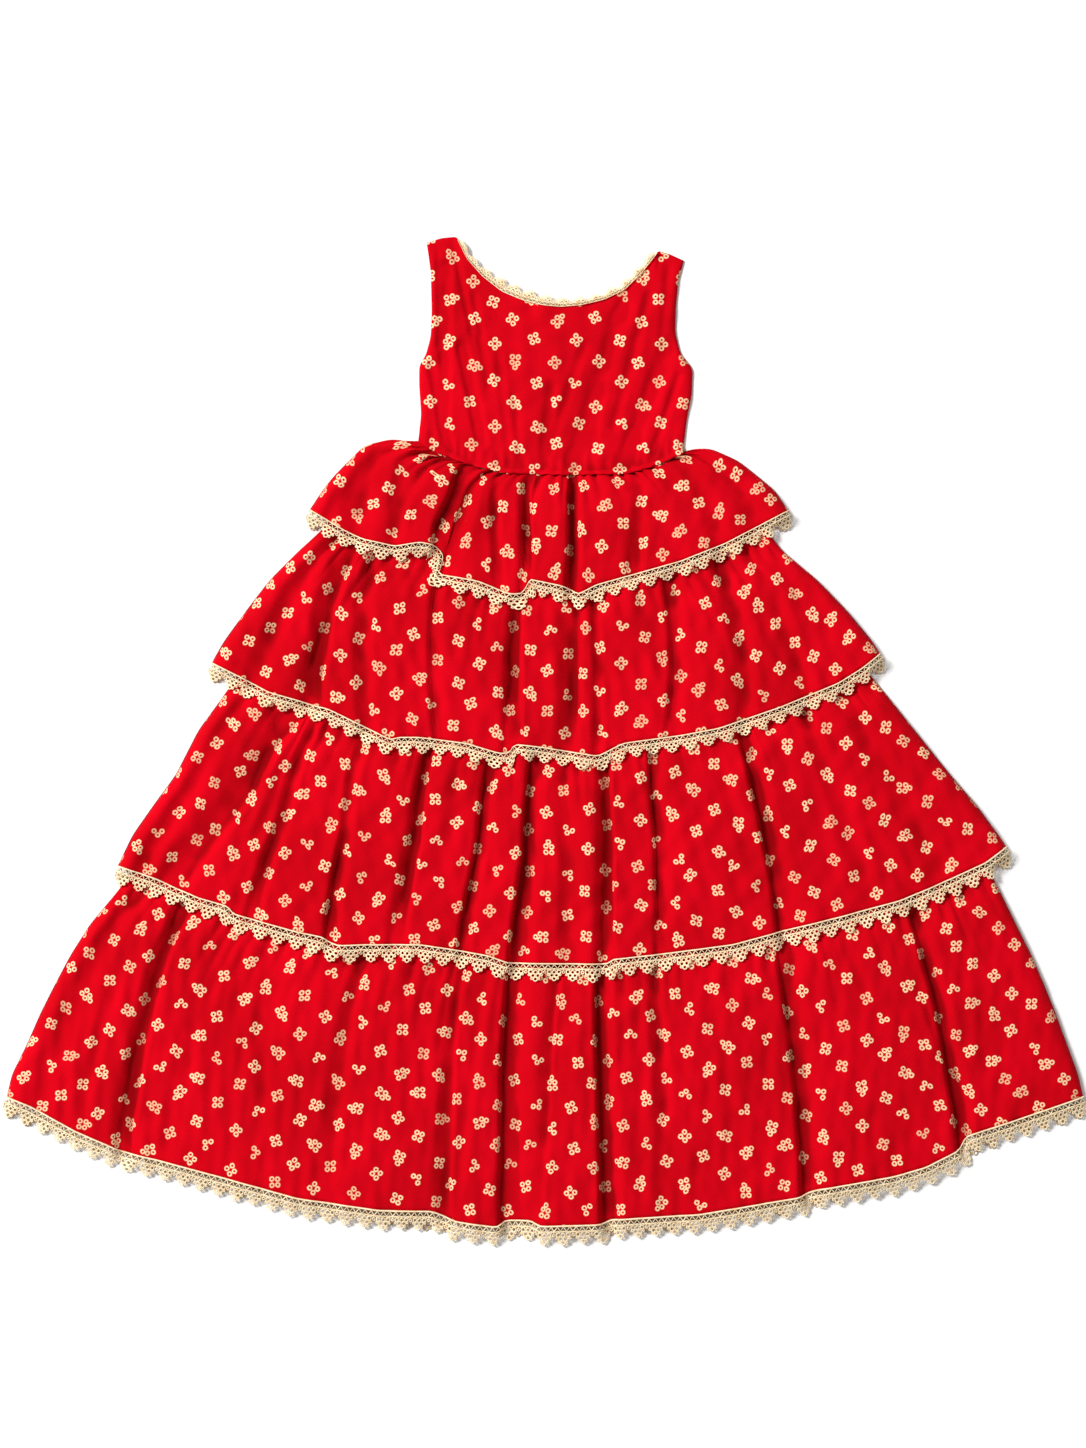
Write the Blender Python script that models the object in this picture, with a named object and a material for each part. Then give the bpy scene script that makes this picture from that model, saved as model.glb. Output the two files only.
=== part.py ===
"""A girl's tiered prairie dress, laid flat on its back with its front up.

Sizes are in millimetres here and become metres as each mesh is made. Across is measured from the middle of the
dress, to the right as it lies. Down is measured from the neck end of the higher shoulder, towards the hem.
"""

import math
from collections import namedtuple

import bmesh
import bpy
from mathutils import Vector
from mathutils.bvhtree import BVHTree

METRE = 0.001
CLOTH_WALL = 1.2
LACE_WALL = 1.1
SEAM_GAP = 0.3
SLACK = 0.5
LAID_REACH = 12.0
STEEPEST_WALL = 2.0
SIDE_ROUND = 15.0
LACE_LAP = 2.6
LACE_REPEAT = 18.5
BAND_END = 3.2
EYELET_END = 7.7
EYELET_FROM = 0.37
EYELET_TO = 0.63
SCALLOP_DEEP = 4.6
BACK_INSET = 5.0
BACK_COLUMNS = 18
STEP_CLEAR = 2.0
STEP_RUN = 6.0
LINE_POINTS = 300
LAP_ROW = 9.0

Station = namedtuple("Station", "across down")
Fold = namedtuple("Fold", "top hem width_top width_hem depth_top depth_hem lean")
Loft = namedtuple("Loft", "seam middle hem")
Tier = namedtuple("Tier", "name seam left right hem folds loft gathers lace_width")
Crease = namedtuple("Crease", "top_across top_down end_across end_down width depth")
Wall = namedtuple("Wall", "top bottom")

WAIST = (
    Station(-126, 204.5),
    Station(-104, 216),
    Station(-74, 227),
    Station(-40, 235),
    Station(21, 237),
    Station(83, 236),
    Station(111, 228),
    Station(139, 216),
)

BODICE_TOP = (
    Station(-117.5, 6),
    Station(-103, 1.5),
    Station(-88, 0),
    Station(-77, 22),
    Station(-62, 39),
    Station(-42, 54.5),
    Station(-22, 63),
    Station(-1, 68.5),
    Station(17, 70),
    Station(36, 68.5),
    Station(60, 63),
    Station(80.5, 53),
    Station(97, 37),
    Station(109, 22),
    Station(115, 14),
    Station(127, 18),
    Station(140, 24),
)
NECK_LEFT = -88
NECK_RIGHT = 115

BODICE_LEFT = (
    Station(-117.5, 6),
    Station(-113.4, 35),
    Station(-112.4, 76),
    Station(-113.4, 100),
    Station(-118.5, 119),
    Station(-125, 129),
    Station(-125, 149),
    Station(-123, 178),
    Station(-126, 204.5),
)

BODICE_RIGHT = (
    Station(140, 24),
    Station(134.6, 45),
    Station(132, 72),
    Station(131.5, 96),
    Station(136.6, 117),
    Station(149, 132),
    Station(148, 158),
    Station(143, 184),
    Station(139, 216),
)

NECK_LACE_WIDTHS = (4.5, 6.0, 9.5, 12.0, 12.0, 10.5, 8.5, 8.0, 8.5, 7.5, 6.5)
NECK_REPEATS = 13
BACK_NECK_DROP = 1.5
NECK_REACH = 0.012
NECK_ENDS = 0.014

BODICE_ROWS = (0.0, 0.1, 0.27, 0.45, 0.63, 0.82, 1.0)
BODICE_LOFT = 4.6
BODICE_CREASES = (
    Crease(-98, 30, -100, 190, 9, 1.6),
    Crease(-82, 110, -62, 205, 9, 1.8),
    Crease(-112, 130, -95, 212, 8, 1.4),
    Crease(80, 70, 30, 225, 14, 1.3),
    Crease(125, 110, 82, 225, 14, 1.4),
    Crease(8, 150, -2, 235, 9, 0.9),
)

TIERS = (
    Tier(
        name="tier_1",
        seam=WAIST,
        left=(
            Station(-126, 204.5),
            Station(-138, 204.5),
            Station(-153, 202.5),
            Station(-180, 209),
            Station(-195, 224),
            Station(-210, 239),
            Station(-222, 254),
            Station(-235, 274),
        ),
        right=(
            Station(139, 216),
            Station(148, 212.5),
            Station(167, 212),
            Station(194, 224),
            Station(213, 239),
            Station(231, 254),
            Station(245, 275),
        ),
        hem=(
            Station(-235, 274),
            Station(-200, 295),
            Station(-181, 304),
            Station(-149, 311),
            Station(-124, 307),
            Station(-104, 311),
            Station(-97, 319),
            Station(-98, 328),
            Station(-102, 339),
            Station(-65, 346.5),
            Station(-35, 359),
            Station(-23, 359),
            Station(-16, 344),
            Station(18, 351),
            Station(34, 359.5),
            Station(52, 350),
            Station(137, 326),
            Station(182, 308),
            Station(245, 275),
        ),
        folds=(
            Fold(-121, -192, 9, 14, 1.7, 4.4, 0),
            Fold(-108, -146, 8, 13, 2.2, 4.4, 0),
            Fold(-66, -95, 8, 9, 5.0, 10.6, -4),
            Fold(-38, -44, 7, 9, 2.8, 4.4, 0),
            Fold(-14, -19, 7, 8, 5.0, 11.9, 2),
            Fold(29, 27, 7, 9, 5.6, 11.9, 2),
            Fold(84, 88, 8, 12, 2.2, 2.8, 0),
            Fold(116, 176, 8, 14, 2.2, 2.8, 0),
            Fold(131, 214, 8, 14, 1.7, 2.2, 0),
        ),
        loft=Loft(4.6, 11.5, 13.0),
        gathers=0.9,
        lace_width=15.5,
    ),
    Tier(
        name="tier_2",
        seam=(
            Station(-202, 272),
            Station(-144, 286),
            Station(-74, 304),
            Station(1, 312),
            Station(56, 309),
            Station(136, 289),
            Station(208, 269),
        ),
        left=(
            Station(-202, 272),
            Station(-224, 295),
            Station(-245, 314),
            Station(-275, 344),
            Station(-298, 374),
            Station(-320, 404),
            Station(-333, 427),
        ),
        right=(
            Station(208, 269),
            Station(224, 295),
            Station(238, 314),
            Station(274, 344),
            Station(303, 374),
            Station(328, 404),
            Station(336.5, 418),
        ),
        hem=(
            Station(-333, 427),
            Station(-303, 442),
            Station(-275, 457),
            Station(-215, 474),
            Station(-152, 505),
            Station(-147, 502),
            Station(-125, 502),
            Station(-78, 508),
            Station(-45, 518),
            Station(-33, 518),
            Station(-28, 509),
            Station(-2, 512),
            Station(54, 521),
            Station(79, 508),
            Station(138, 500),
            Station(175, 493),
            Station(236, 472),
            Station(294, 448),
            Station(318, 433),
            Station(336.5, 418),
        ),
        folds=(
            Fold(-190, -290, 10, 13, 3.8, 3.8, 0),
            Fold(-176, -231, 9, 10, 4.4, 10.0, -2),
            Fold(-158, -176, 11, 14, 3.8, 4.4, 0),
            Fold(-94, -104, 8, 10, 2.8, 3.8, 0),
            Fold(-22, -31, 7, 9, 6.2, 11.2, -2),
            Fold(31, 22, 11, 12, 6.9, 6.9, 0),
            Fold(52, 53, 7, 9, 2.2, 3.8, 0),
            Fold(124, 128, 11, 12, 5.6, 3.8, 0),
            Fold(168, 201, 11, 14, 5.0, 3.8, 0),
            Fold(189, 262, 9, 12, 3.8, 2.0, 0),
        ),
        loft=Loft(5.2, 12.5, 13.0),
        gathers=0.8,
        lace_width=15.5,
    ),
    Tier(
        name="tier_3",
        seam=(
            Station(-289, 414),
            Station(-214, 438),
            Station(-144, 458),
            Station(-64, 468),
            Station(16, 472),
            Station(96, 460),
            Station(196, 436),
            Station(294, 400),
        ),
        left=(
            Station(-289, 414),
            Station(-324, 464),
            Station(-346, 494),
            Station(-369, 539),
            Station(-391, 569),
            Station(-412, 599),
            Station(-427, 630),
        ),
        right=(
            Station(294, 400),
            Station(335, 449),
            Station(371, 494),
            Station(407, 539),
            Station(433, 569),
            Station(455, 599),
            Station(463, 611),
        ),
        hem=(
            Station(-427, 630),
            Station(-385, 644),
            Station(-346, 662),
            Station(-315, 671),
            Station(-311, 678),
            Station(-289, 684.5),
            Station(-248, 696),
            Station(-221, 701.5),
            Station(-206, 710),
            Station(-180, 709),
            Station(-124, 709),
            Station(-97, 713),
            Station(-56, 720),
            Station(-35, 727.6),
            Station(62, 728.5),
            Station(66, 724),
            Station(117, 718.6),
            Station(189, 709),
            Station(239, 695.5),
            Station(297, 681),
            Station(356, 665),
            Station(392, 650),
            Station(441, 627.5),
            Station(463, 611),
        ),
        folds=(
            Fold(-270, -404, 9, 12, 2.2, 2.2, 0),
            Fold(-226, -374, 9, 13, 6.2, 5.0, -2),
            Fold(-212, -292, 8, 10, 2.8, 5.6, 0),
            Fold(-170, -213, 7, 9, 2.2, 8.8, -2),
            Fold(-108, -147, 7, 9, 6.2, 8.1, 0),
            Fold(-44, -81, 8, 9, 5.0, 6.9, 0),
            Fold(-4, -25, 8, 11, 6.2, 11.2, 0),
            Fold(26, 28, 14, 18, 2.2, 3.8, 0),
            Fold(56, 60, 7, 9, 6.2, 11.2, 2),
            Fold(102, 118, 8, 12, 5.6, 4.4, 0),
            Fold(184, 241, 9, 13, 4.4, 7.5, 0),
            Fold(236, 328, 10, 13, 3.8, 2.2, 0),
            Fold(270, 398, 10, 14, 2.8, 2.2, 0),
        ),
        loft=Loft(5.2, 12.5, 13.0),
        gathers=0.8,
        lace_width=18.0,
    ),
    Tier(
        name="tier_4",
        seam=(
            Station(-394, 614),
            Station(-314, 634),
            Station(-224, 656),
            Station(-124, 670),
            Station(-34, 679),
            Station(56, 679),
            Station(156, 667),
            Station(256, 647),
            Station(356, 621),
            Station(421, 596),
        ),
        left=(
            Station(-394, 614),
            Station(-430, 659),
            Station(-455, 689),
            Station(-474, 719),
            Station(-490, 749),
            Station(-505, 779),
            Station(-518, 809),
            Station(-533, 839),
            Station(-538, 861),
        ),
        right=(
            Station(421, 596),
            Station(451, 644),
            Station(473, 689),
            Station(488, 719),
            Station(501, 749),
            Station(513, 779),
            Station(524, 809),
            Station(535, 839),
            Station(540, 861),
        ),
        hem=(
            Station(-538, 861),
            Station(-515, 870),
            Station(-468, 896),
            Station(-422, 916),
            Station(-381, 926),
            Station(-314, 944),
            Station(-246, 963),
            Station(-164, 975),
            Station(-111, 976),
            Station(-89, 986),
            Station(-46, 992),
            Station(-40, 985.6),
            Station(-12, 985.6),
            Station(-5, 991),
            Station(58, 989),
            Station(65, 984.6),
            Station(156, 979),
            Station(256, 962),
            Station(271, 955),
            Station(350, 941),
            Station(381, 932),
            Station(413, 916),
            Station(421, 901),
            Station(471, 885),
            Station(540, 861),
        ),
        folds=(
            Fold(-378, -506, 10, 14, 4.4, 1.7, 0),
            Fold(-340, -421, 8, 12, 4.4, 10.0, -2),
            Fold(-246, -282, 12, 20, 2.2, 1.7, 0),
            Fold(-166, -218, 8, 16, 5.6, 1.7, 0),
            Fold(-78, -102, 8, 12, 2.8, 5.0, 0),
            Fold(-24, -28, 11, 16, 6.2, 11.2, 0),
            Fold(16, -8, 8, 10, 3.8, 2.8, 0),
            Fold(56, 66, 8, 10, 6.2, 11.2, 2),
            Fold(104, 128, 9, 16, 5.0, 1.7, 0),
            Fold(228, 268, 12, 16, 5.6, 7.5, 0),
            Fold(350, 420, 8, 10, 4.4, 10.0, 2),
        ),
        loft=Loft(5.2, 13.0, 11.8),
        gathers=0.8,
        lace_width=20.0,
    ),
)

COLOURS = {
    "red_cotton": ((0.56, 0.006, 0.018, 1.0), 0.82),
    "cream_lace": ((0.72, 0.5, 0.3, 1.0), 0.88),
}


def mix(first, second, amount):
    return first + (second - first) * amount


def smooth_step(amount):
    amount = min(max(amount, 0.0), 1.0)
    return amount * amount * (3 - 2 * amount)


def along(points, fraction):
    """The point at this fraction of a list of evenly spaced points."""
    place = min(max(fraction, 0.0), 1.0) * (len(points) - 1)
    index = min(int(place), len(points) - 2)
    return points[index].lerp(points[index + 1], place - index)


def evenly(points, count):
    """The same line as evenly spaced points."""
    lengths = [0.0]
    for first, second in zip(points, points[1:]):
        lengths.append(lengths[-1] + (second - first).length)
    found = []
    index = 0
    for step in range(count + 1):
        target = lengths[-1] * step / count
        while index < len(points) - 2 and lengths[index + 1] < target:
            index += 1
        span = max(lengths[index + 1] - lengths[index], 1e-9)
        found.append(points[index].lerp(points[index + 1], (target - lengths[index]) / span))
    return found


def softened(points, reach):
    """Each point averaged with its neighbours, fewer of them near the ends, which stay where they are."""
    found = []
    last = len(points) - 1
    for index in range(len(points)):
        span = min(reach, index, last - index)
        near = points[index - span : index + span + 1]
        found.append(sum(near, Vector((0.0, 0.0))) / len(near))
    return found


def line_of(stations, soften=6.0):
    """A line through the stations, rounded over this many millimetres."""
    points = [Vector((row.across, row.down)) for row in stations]
    points = evenly(points, LINE_POINTS)
    step = max((points[1] - points[0]).length, 0.1)
    return evenly(softened(points, max(1, round(soften / 2 / step))), LINE_POINTS)


def length_of(points):
    return sum((second - first).length for first, second in zip(points, points[1:]))


def fraction_at(points, across):
    """How far along the line, from 0 to 1, it first comes to this distance across."""
    best = min(range(len(points)), key=lambda index: abs(points[index].x - across))
    return best / (len(points) - 1)


class Patch:
    """A panel between four lines: its seam, its hem and its two sides."""

    def __init__(self, seam, left, right, hem):
        self.seam = seam
        self.left = left
        self.right = right
        self.hem = hem
        self.seam_length = length_of(seam)
        self.hem_length = length_of(hem)

    def at(self, cross, fall):
        """The place in plan at this fraction across and down the panel."""
        top = along(self.seam, cross)
        end = along(self.hem, cross)
        left = along(self.left, fall) - self.left[0].lerp(self.left[-1], fall)
        right = along(self.right, fall) - self.right[0].lerp(self.right[-1], fall)
        return top.lerp(end, fall) + left * (1 - cross) + right * cross

    def width(self, fall):
        return mix(self.seam_length, self.hem_length, fall)


def hem_direction(points, fraction, reach=0.03):
    """Square to the hem and away from the cloth, with the small steps in the hem left out."""
    before = along(points, fraction - reach)
    after = along(points, fraction + reach)
    tangent = (after - before).normalized()
    return Vector((-tangent.y, tangent.x))


class Ground:
    """Everything laid down so far, so that the next piece can lie on it."""

    def __init__(self):
        self.trees = []

    def add(self, mesh_points, faces):
        self.trees.append(BVHTree.FromPolygons(mesh_points, faces))

    def height(self, across, down, reach=0.0):
        """The highest surface at this place, or within this reach of it."""
        spots = [(0.0, 0.0)]
        for turn in range(8 if reach else 0):
            angle = math.tau * turn / 8
            spots.append((reach * math.cos(angle), reach * math.sin(angle)))
            spots.append((0.5 * reach * math.cos(angle), 0.5 * reach * math.sin(angle)))
        highest = 0.0
        for tree in self.trees:
            for shift_across, shift_down in spots:
                start = Vector((across + shift_across, -(down + shift_down), 90.0))
                hit = tree.ray_cast(start, Vector((0.0, 0.0, -1.0)))[0]
                if hit is not None:
                    highest = max(highest, hit.z)
        return highest


class Sewing:
    """Keeps each finished wall until all are made, as the origin comes from the whole dress."""

    def __init__(self):
        self.ground = Ground()
        self.walls = []

    def wall(self, name, colour, columns, rows, top, bottom, left_out=(), extra_edge=()):
        """Closes a grid of points into a wall. left_out names the cells that are holes."""
        points = []
        index_top = {}
        index_bottom = {}
        for key, place in top.items():
            index_top[key] = len(points)
            points.append(place)
        for key, place in bottom.items():
            index_bottom[key] = len(points)
            points.append(place)
        holes = set(left_out)
        extra = dict(extra_edge)
        faces = []
        for column in range(columns - 1):
            for row in range(rows - 1):
                if (column, row) in holes:
                    continue
                corners = [(column, row), (column, row + 1), (column + 1, row + 1), (column + 1, row)]
                if row == rows - 2 and column in extra:
                    corners.insert(2, extra[column])
                faces.append([index_top[key] for key in corners])
                faces.append([index_bottom[key] for key in reversed(corners)])
                sides = list(zip(corners, corners[1:] + corners[:1]))
                for first, second in sides:
                    if self.is_rim(first, second, column, row, columns, rows, holes):
                        rim = [index_top[second], index_top[first], index_bottom[first], index_bottom[second]]
                        faces.append(rim)
        self.walls.append((name, colour, points, faces))
        self.ground.add([Vector(place) for place in points], faces)

    @staticmethod
    def is_rim(first, second, column, row, columns, rows, holes):
        """Whether this side of a cell has no cell beyond it."""
        if "extra" in (first[0], second[0]):
            return True
        if first[0] == second[0]:
            beyond = (column - 1, row) if first[0] == column else (column + 1, row)
        else:
            beyond = (column, row - 1) if first[1] == row else (column, row + 1)
        outside = not (0 <= beyond[0] < columns - 1 and 0 <= beyond[1] < rows - 1)
        return outside or beyond in holes

    def finish(self, collection):
        """Moves the origin to the middle of the dress, on the surface under it, and makes the objects."""
        lowest = [min(place[axis] for wall in self.walls for place in wall[2]) for axis in range(3)]
        highest = [max(place[axis] for wall in self.walls for place in wall[2]) for axis in range(3)]
        middle = Vector(((lowest[0] + highest[0]) / 2, (lowest[1] + highest[1]) / 2, lowest[2]))
        for name, colour, points, faces in self.walls:
            mesh = bpy.data.meshes.new(name)
            mesh.from_pydata([(Vector(place) - middle) * METRE for place in points], [], faces)
            shaped = bmesh.new()
            shaped.from_mesh(mesh)
            bmesh.ops.triangulate(shaped, faces=shaped.faces, quad_method="SHORT_EDGE")
            bmesh.ops.recalc_face_normals(shaped, faces=shaped.faces)
            shaped.to_mesh(mesh)
            shaped.free()
            mesh.materials.append(material(colour))
            collection.objects.link(bpy.data.objects.new(name, mesh))


def material(name):
    """The named material, made the first time it is asked for."""
    found = bpy.data.materials.get(name)
    if found:
        return found
    colour, roughness = COLOURS[name]
    found = bpy.data.materials.new(name)
    found.use_nodes = True
    shader = found.node_tree.nodes["Principled BSDF"]
    shader.inputs["Base Color"].default_value = colour
    shader.inputs["Roughness"].default_value = roughness
    shader.inputs["Metallic"].default_value = 0.0
    return found


def trough(distance, half_width):
    """1 at the bottom of a fold, falling softly to 0 at its edges."""
    if abs(distance) >= half_width:
        return 0.0
    return 0.5 + 0.5 * math.cos(math.pi * distance / half_width)


def side_factor(patch, cross, fall):
    """0 at the side folds and 1 where the panel has reached its full loft."""
    edge = min(cross, 1 - cross) * patch.width(fall)
    short = 1 - min(edge / SIDE_ROUND, 1.0)
    return math.sqrt(max(0.0, 1 - short * short))


class Flounce:
    """The front panel of one tier, with its folds placed."""

    def __init__(self, tier):
        self.tier = tier
        self.patch = Patch(line_of(tier.seam), line_of(tier.left, 14), line_of(tier.right, 14), line_of(tier.hem))
        self.folds = [
            (fraction_at(self.patch.seam, fold.top), fraction_at(self.patch.hem, fold.hem), fold)
            for fold in tier.folds
        ]

    def lift(self, fall):
        """The height of a ridge at this fraction down the panel."""
        loft = self.tier.loft
        if fall < 0.35:
            return mix(loft.seam, loft.middle, smooth_step(fall / 0.35))
        return mix(loft.middle, loft.hem, (fall - 0.35) / 0.65)

    def shape(self, cross, fall, gather_sign=0.0):
        """(shift across, height) of the cloth's outer face, before it is laid on what is under it."""
        width = self.patch.width(fall)
        height = self.lift(fall) + 0.8 * math.sin(cross * 23.0 + 2.1 * fall) + 0.5 * math.sin(cross * 57.0 + 1.3)
        shift = 0.0
        for at_seam, at_hem, fold in self.folds:
            distance = (cross - mix(at_seam, at_hem, fall)) * width
            amount = trough(distance, mix(fold.width_top, fold.width_hem, fall))
            height -= mix(fold.depth_top, fold.depth_hem, fall) * amount
            shift += fold.lean * fall * amount
        fade = 1 - smooth_step(fall / 0.45)
        height += gather_sign * self.tier.gathers * fade
        base = CLOTH_WALL * 2 + SEAM_GAP
        edge = side_factor(self.patch, cross, fall)
        return shift * edge, base + (max(height, base + 0.4) - base) * edge


def lace_columns(length):
    """Fractions along a hem: where each scallop begins, and the two sides of its eyelet."""
    repeats = round(length / LACE_REPEAT)
    found = []
    for repeat in range(repeats):
        for part in (EYELET_FROM, EYELET_TO):
            found.append((repeat + part) / repeats)
    return repeats, [0.0] + found + [1.0]


def cloth_columns(flounce, fractions, every):
    """The lace's own columns that the cloth keeps: those at its folds and steps, and enough between."""
    kept = {0, 1, 2, len(fractions) - 1, len(fractions) - 2, len(fractions) - 3}
    for _, at_hem, fold in flounce.folds:
        for side in (-1.0, -0.5, 0.0, 0.5, 1.0):
            target = at_hem + side * fold.width_hem / flounce.patch.hem_length
            kept.add(min(range(len(fractions)), key=lambda index: abs(fractions[index] - target)))
    ordered = sorted(kept)
    filled = set(ordered)
    for first, second in zip(ordered, ordered[1:]):
        parts = math.ceil((second - first) / every)
        for part in range(1, parts):
            filled.add(first + round((second - first) * part / parts))
    return sorted(filled)


def snapped(flounce, fractions):
    """Moves the columns a little so that one falls on the middle of each fold."""
    count = len(fractions)
    found = list(fractions)
    middles = [flounce_fold[1] for flounce_fold in flounce.folds]
    anchors = {0: 0.0, count - 1: 1.0}
    for middle in sorted(middles):
        index = min(range(1, count - 1), key=lambda place: abs(fractions[place] - middle))
        anchors[index] = middle
    ordered = sorted(anchors)
    for first, second in zip(ordered, ordered[1:]):
        low, high = fractions[first], fractions[second]
        for index in range(first, second + 1):
            part = (fractions[index] - low) / (high - low)
            found[index] = mix(anchors[first], anchors[second], part)
    return found


def wall_height(run, rise, thickness):
    """The upright thickness that keeps the wall's own thickness on a slope."""
    slope = abs(rise) / max(run, 1e-6)
    return thickness * min(math.sqrt(1 + slope * slope), STEEPEST_WALL)


def laid_grid(sewing, places, thickness, reach, clear=SLACK):
    """Lays a grid of (across, down, height) on what is under it, and gives its outer and inner points."""
    columns = 1 + max(key[0] for key in places)
    rows = 1 + max(key[1] for key in places)
    laid = {}
    for key, (across, down, height) in places.items():
        column, row = key
        before = places[(max(column - 1, 0), row)]
        after = places[(min(column + 1, columns - 1), row)]
        steepest = 0.0
        for other in (before, after):
            run = math.hypot(other[0] - across, other[1] - down)
            if run > 0:
                steepest = max(steepest, abs(other[2] - height) / run)
        upright = wall_height(1.0, steepest, thickness)
        support = sewing.ground.height(across, down, reach)
        laid[key] = (max(height, support + SEAM_GAP + clear + upright), upright)
    top = {}
    bottom = {}
    for key, (across, down, _) in places.items():
        height, upright = laid[key]
        top[key] = (across, -down, height)
        bottom[key] = (across, -down, height - upright)
    return columns, rows, top, bottom


def fraction_down(patch, cross, target_line, beyond):
    """How far down the panel, at this column, it passes the other line by so much."""
    last = None
    for step in range(121):
        fall = step / 120
        place = patch.at(cross, fall)
        near = min(target_line, key=lambda point: abs(point.x - place.x))
        past = place.y - near.y - beyond
        if past >= 0:
            if last is None or last[1] == past:
                return fall
            return mix(last[0], fall, -last[1] / (past - last[1]))
        last = (fall, past)
    return 1.0


def back_hem(patch):
    """The hem of the back: the front's, without its steps and a little shorter, so that it stays hidden."""
    points = softened(patch.hem, LINE_POINTS // 10)
    found = []
    for index, point in enumerate(points):
        fraction = index / (len(points) - 1)
        pull = BACK_INSET * smooth_step(min(fraction, 1 - fraction) * 12)
        direction = hem_direction(patch.hem, fraction)
        found.append(point - direction * pull)
    return found


def make_backs(sewing, flounces):
    """The back panels lie flat on the surface, each lower one stepping over the hem of the one above."""
    above = None
    for flounce in flounces:
        patch = Patch(flounce.patch.seam, flounce.patch.left, flounce.patch.right, back_hem(flounce.patch))
        columns = BACK_COLUMNS
        places = {}
        for column in range(columns + 1):
            cross = column / columns
            if above is None:
                falls = ((0.0, 0.0), (0.2, 0.0), (0.4, 0.0), (0.7, 0.0), (1.0, 0.0))
            else:
                start = fraction_down(patch, cross, above, STEP_CLEAR)
                stop = fraction_down(patch, cross, above, STEP_CLEAR + STEP_RUN)
                lifted = CLOTH_WALL + SEAM_GAP
                middle = mix(stop, 1.0, 0.5)
                falls = ((0.0, lifted), (start, lifted), (stop, 0.0), (middle, 0.0), (1.0, 0.0))
            for row, (fall, floor) in enumerate(falls):
                place = patch.at(cross, fall)
                down = place.y + (SEAM_GAP / 2 if row == 0 else 0.0)
                places[(column, row)] = (place.x, down, floor)
        rows = 1 + max(key[1] for key in places)
        top = {key: (value[0], -value[1], value[2] + CLOTH_WALL) for key, value in places.items()}
        bottom = {key: (value[0], -value[1], value[2]) for key, value in places.items()}
        sewing.wall(flounce.tier.name + "_back", "red_cotton", columns + 1, rows, top, bottom)
        width = flounce.tier.lace_width - SCALLOP_DEEP - BACK_INSET + 4.0
        edge = []
        places = {}
        for column in range(columns + 1):
            cross = column / columns
            hem = patch.at(cross, 1.0)
            direction = hem_direction(patch.hem, cross)
            for row, out in enumerate((SEAM_GAP, width)):
                place = hem + direction * out
                places[(column, row)] = (place.x, place.y, 0.0)
            edge.append(hem + direction * width)
        top = {key: (value[0], -value[1], LACE_WALL) for key, value in places.items()}
        bottom = {key: (value[0], -value[1], 0.0) for key, value in places.items()}
        sewing.wall(flounce.tier.name + "_lace_back", "cream_lace", columns + 1, 2, top, bottom)
        above = evenly(edge, LINE_POINTS)


def row_falls(flounce, lower):
    """Fractions down the panel for its rows of points: a row is kept beside the seam of the tier below."""
    if lower is None:
        return [0.0, 0.13, 0.3, 0.62, 1.0]
    patch = flounce.patch
    middle = fraction_down(patch, 0.5, lower.patch.seam, 0.0)
    length = (patch.at(0.5, 1.0) - patch.at(0.5, 0.0)).length
    lap = LAP_ROW / length
    if flounce.tier.name == "tier_1":
        return [0.0, 0.3, middle - lap - 0.03, middle + 0.02, 1.0]
    return [0.0, 0.16, 0.42, middle - lap - 0.02, middle + 0.02, 1.0]


def make_front(sewing, flounce, lower):
    """Sews one front panel and the lace on its hem."""
    patch = flounce.patch
    repeats, fractions = lace_columns(patch.hem_length)
    fractions = snapped(flounce, fractions)
    every = 1 if flounce.tier.name == "tier_1" else 3
    kept = cloth_columns(flounce, fractions, every)
    falls = row_falls(flounce, lower)
    places = {}
    for column, index in enumerate(kept):
        at_hem = fractions[index]
        cross_top = seam_fraction(flounce, at_hem)
        sign = 1.0 if column % 2 else -1.0
        for row, fall in enumerate(falls):
            cross = mix(cross_top, at_hem, fall)
            place = patch.at(cross, fall)
            shift, height = flounce.shape(cross, fall, sign)
            down = place.y + (SEAM_GAP / 2 if row == 0 else 0.0)
            places[(column, row)] = (place.x + shift, down, height)
    columns, rows, top, bottom = laid_grid(sewing, places, CLOTH_WALL, LAID_REACH)
    sewing.wall(flounce.tier.name + "_front", "red_cotton", columns, rows, top, bottom)
    edge = [(fractions[index], Vector(top[(column, rows - 1)])) for column, index in enumerate(kept)]
    upper = [(fractions[index], Vector(top[(column, rows - 2)])) for column, index in enumerate(kept)]
    make_lace(sewing, flounce, repeats, fractions, edge, upper)
    return [seam_fraction(flounce, fractions[index]) for index in kept]


def seam_fraction(flounce, at_hem):
    """Where a column that ends here on the hem starts on the seam, as its folds run."""
    pairs = [(0.0, 0.0)] + sorted((hem, seam) for seam, hem, _ in flounce.folds) + [(1.0, 1.0)]
    for (low_hem, low_seam), (high_hem, high_seam) in zip(pairs, pairs[1:]):
        if at_hem <= high_hem:
            return mix(low_seam, high_seam, (at_hem - low_hem) / max(high_hem - low_hem, 1e-9))
    return 1.0


def on_chord(edge, fraction):
    """The place on the hem's own facets at this fraction."""
    for (low, first), (high, second) in zip(edge, edge[1:]):
        if fraction <= high + 1e-9:
            return first.lerp(second, (fraction - low) / max(high - low, 1e-9))
    return edge[-1][1]


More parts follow.
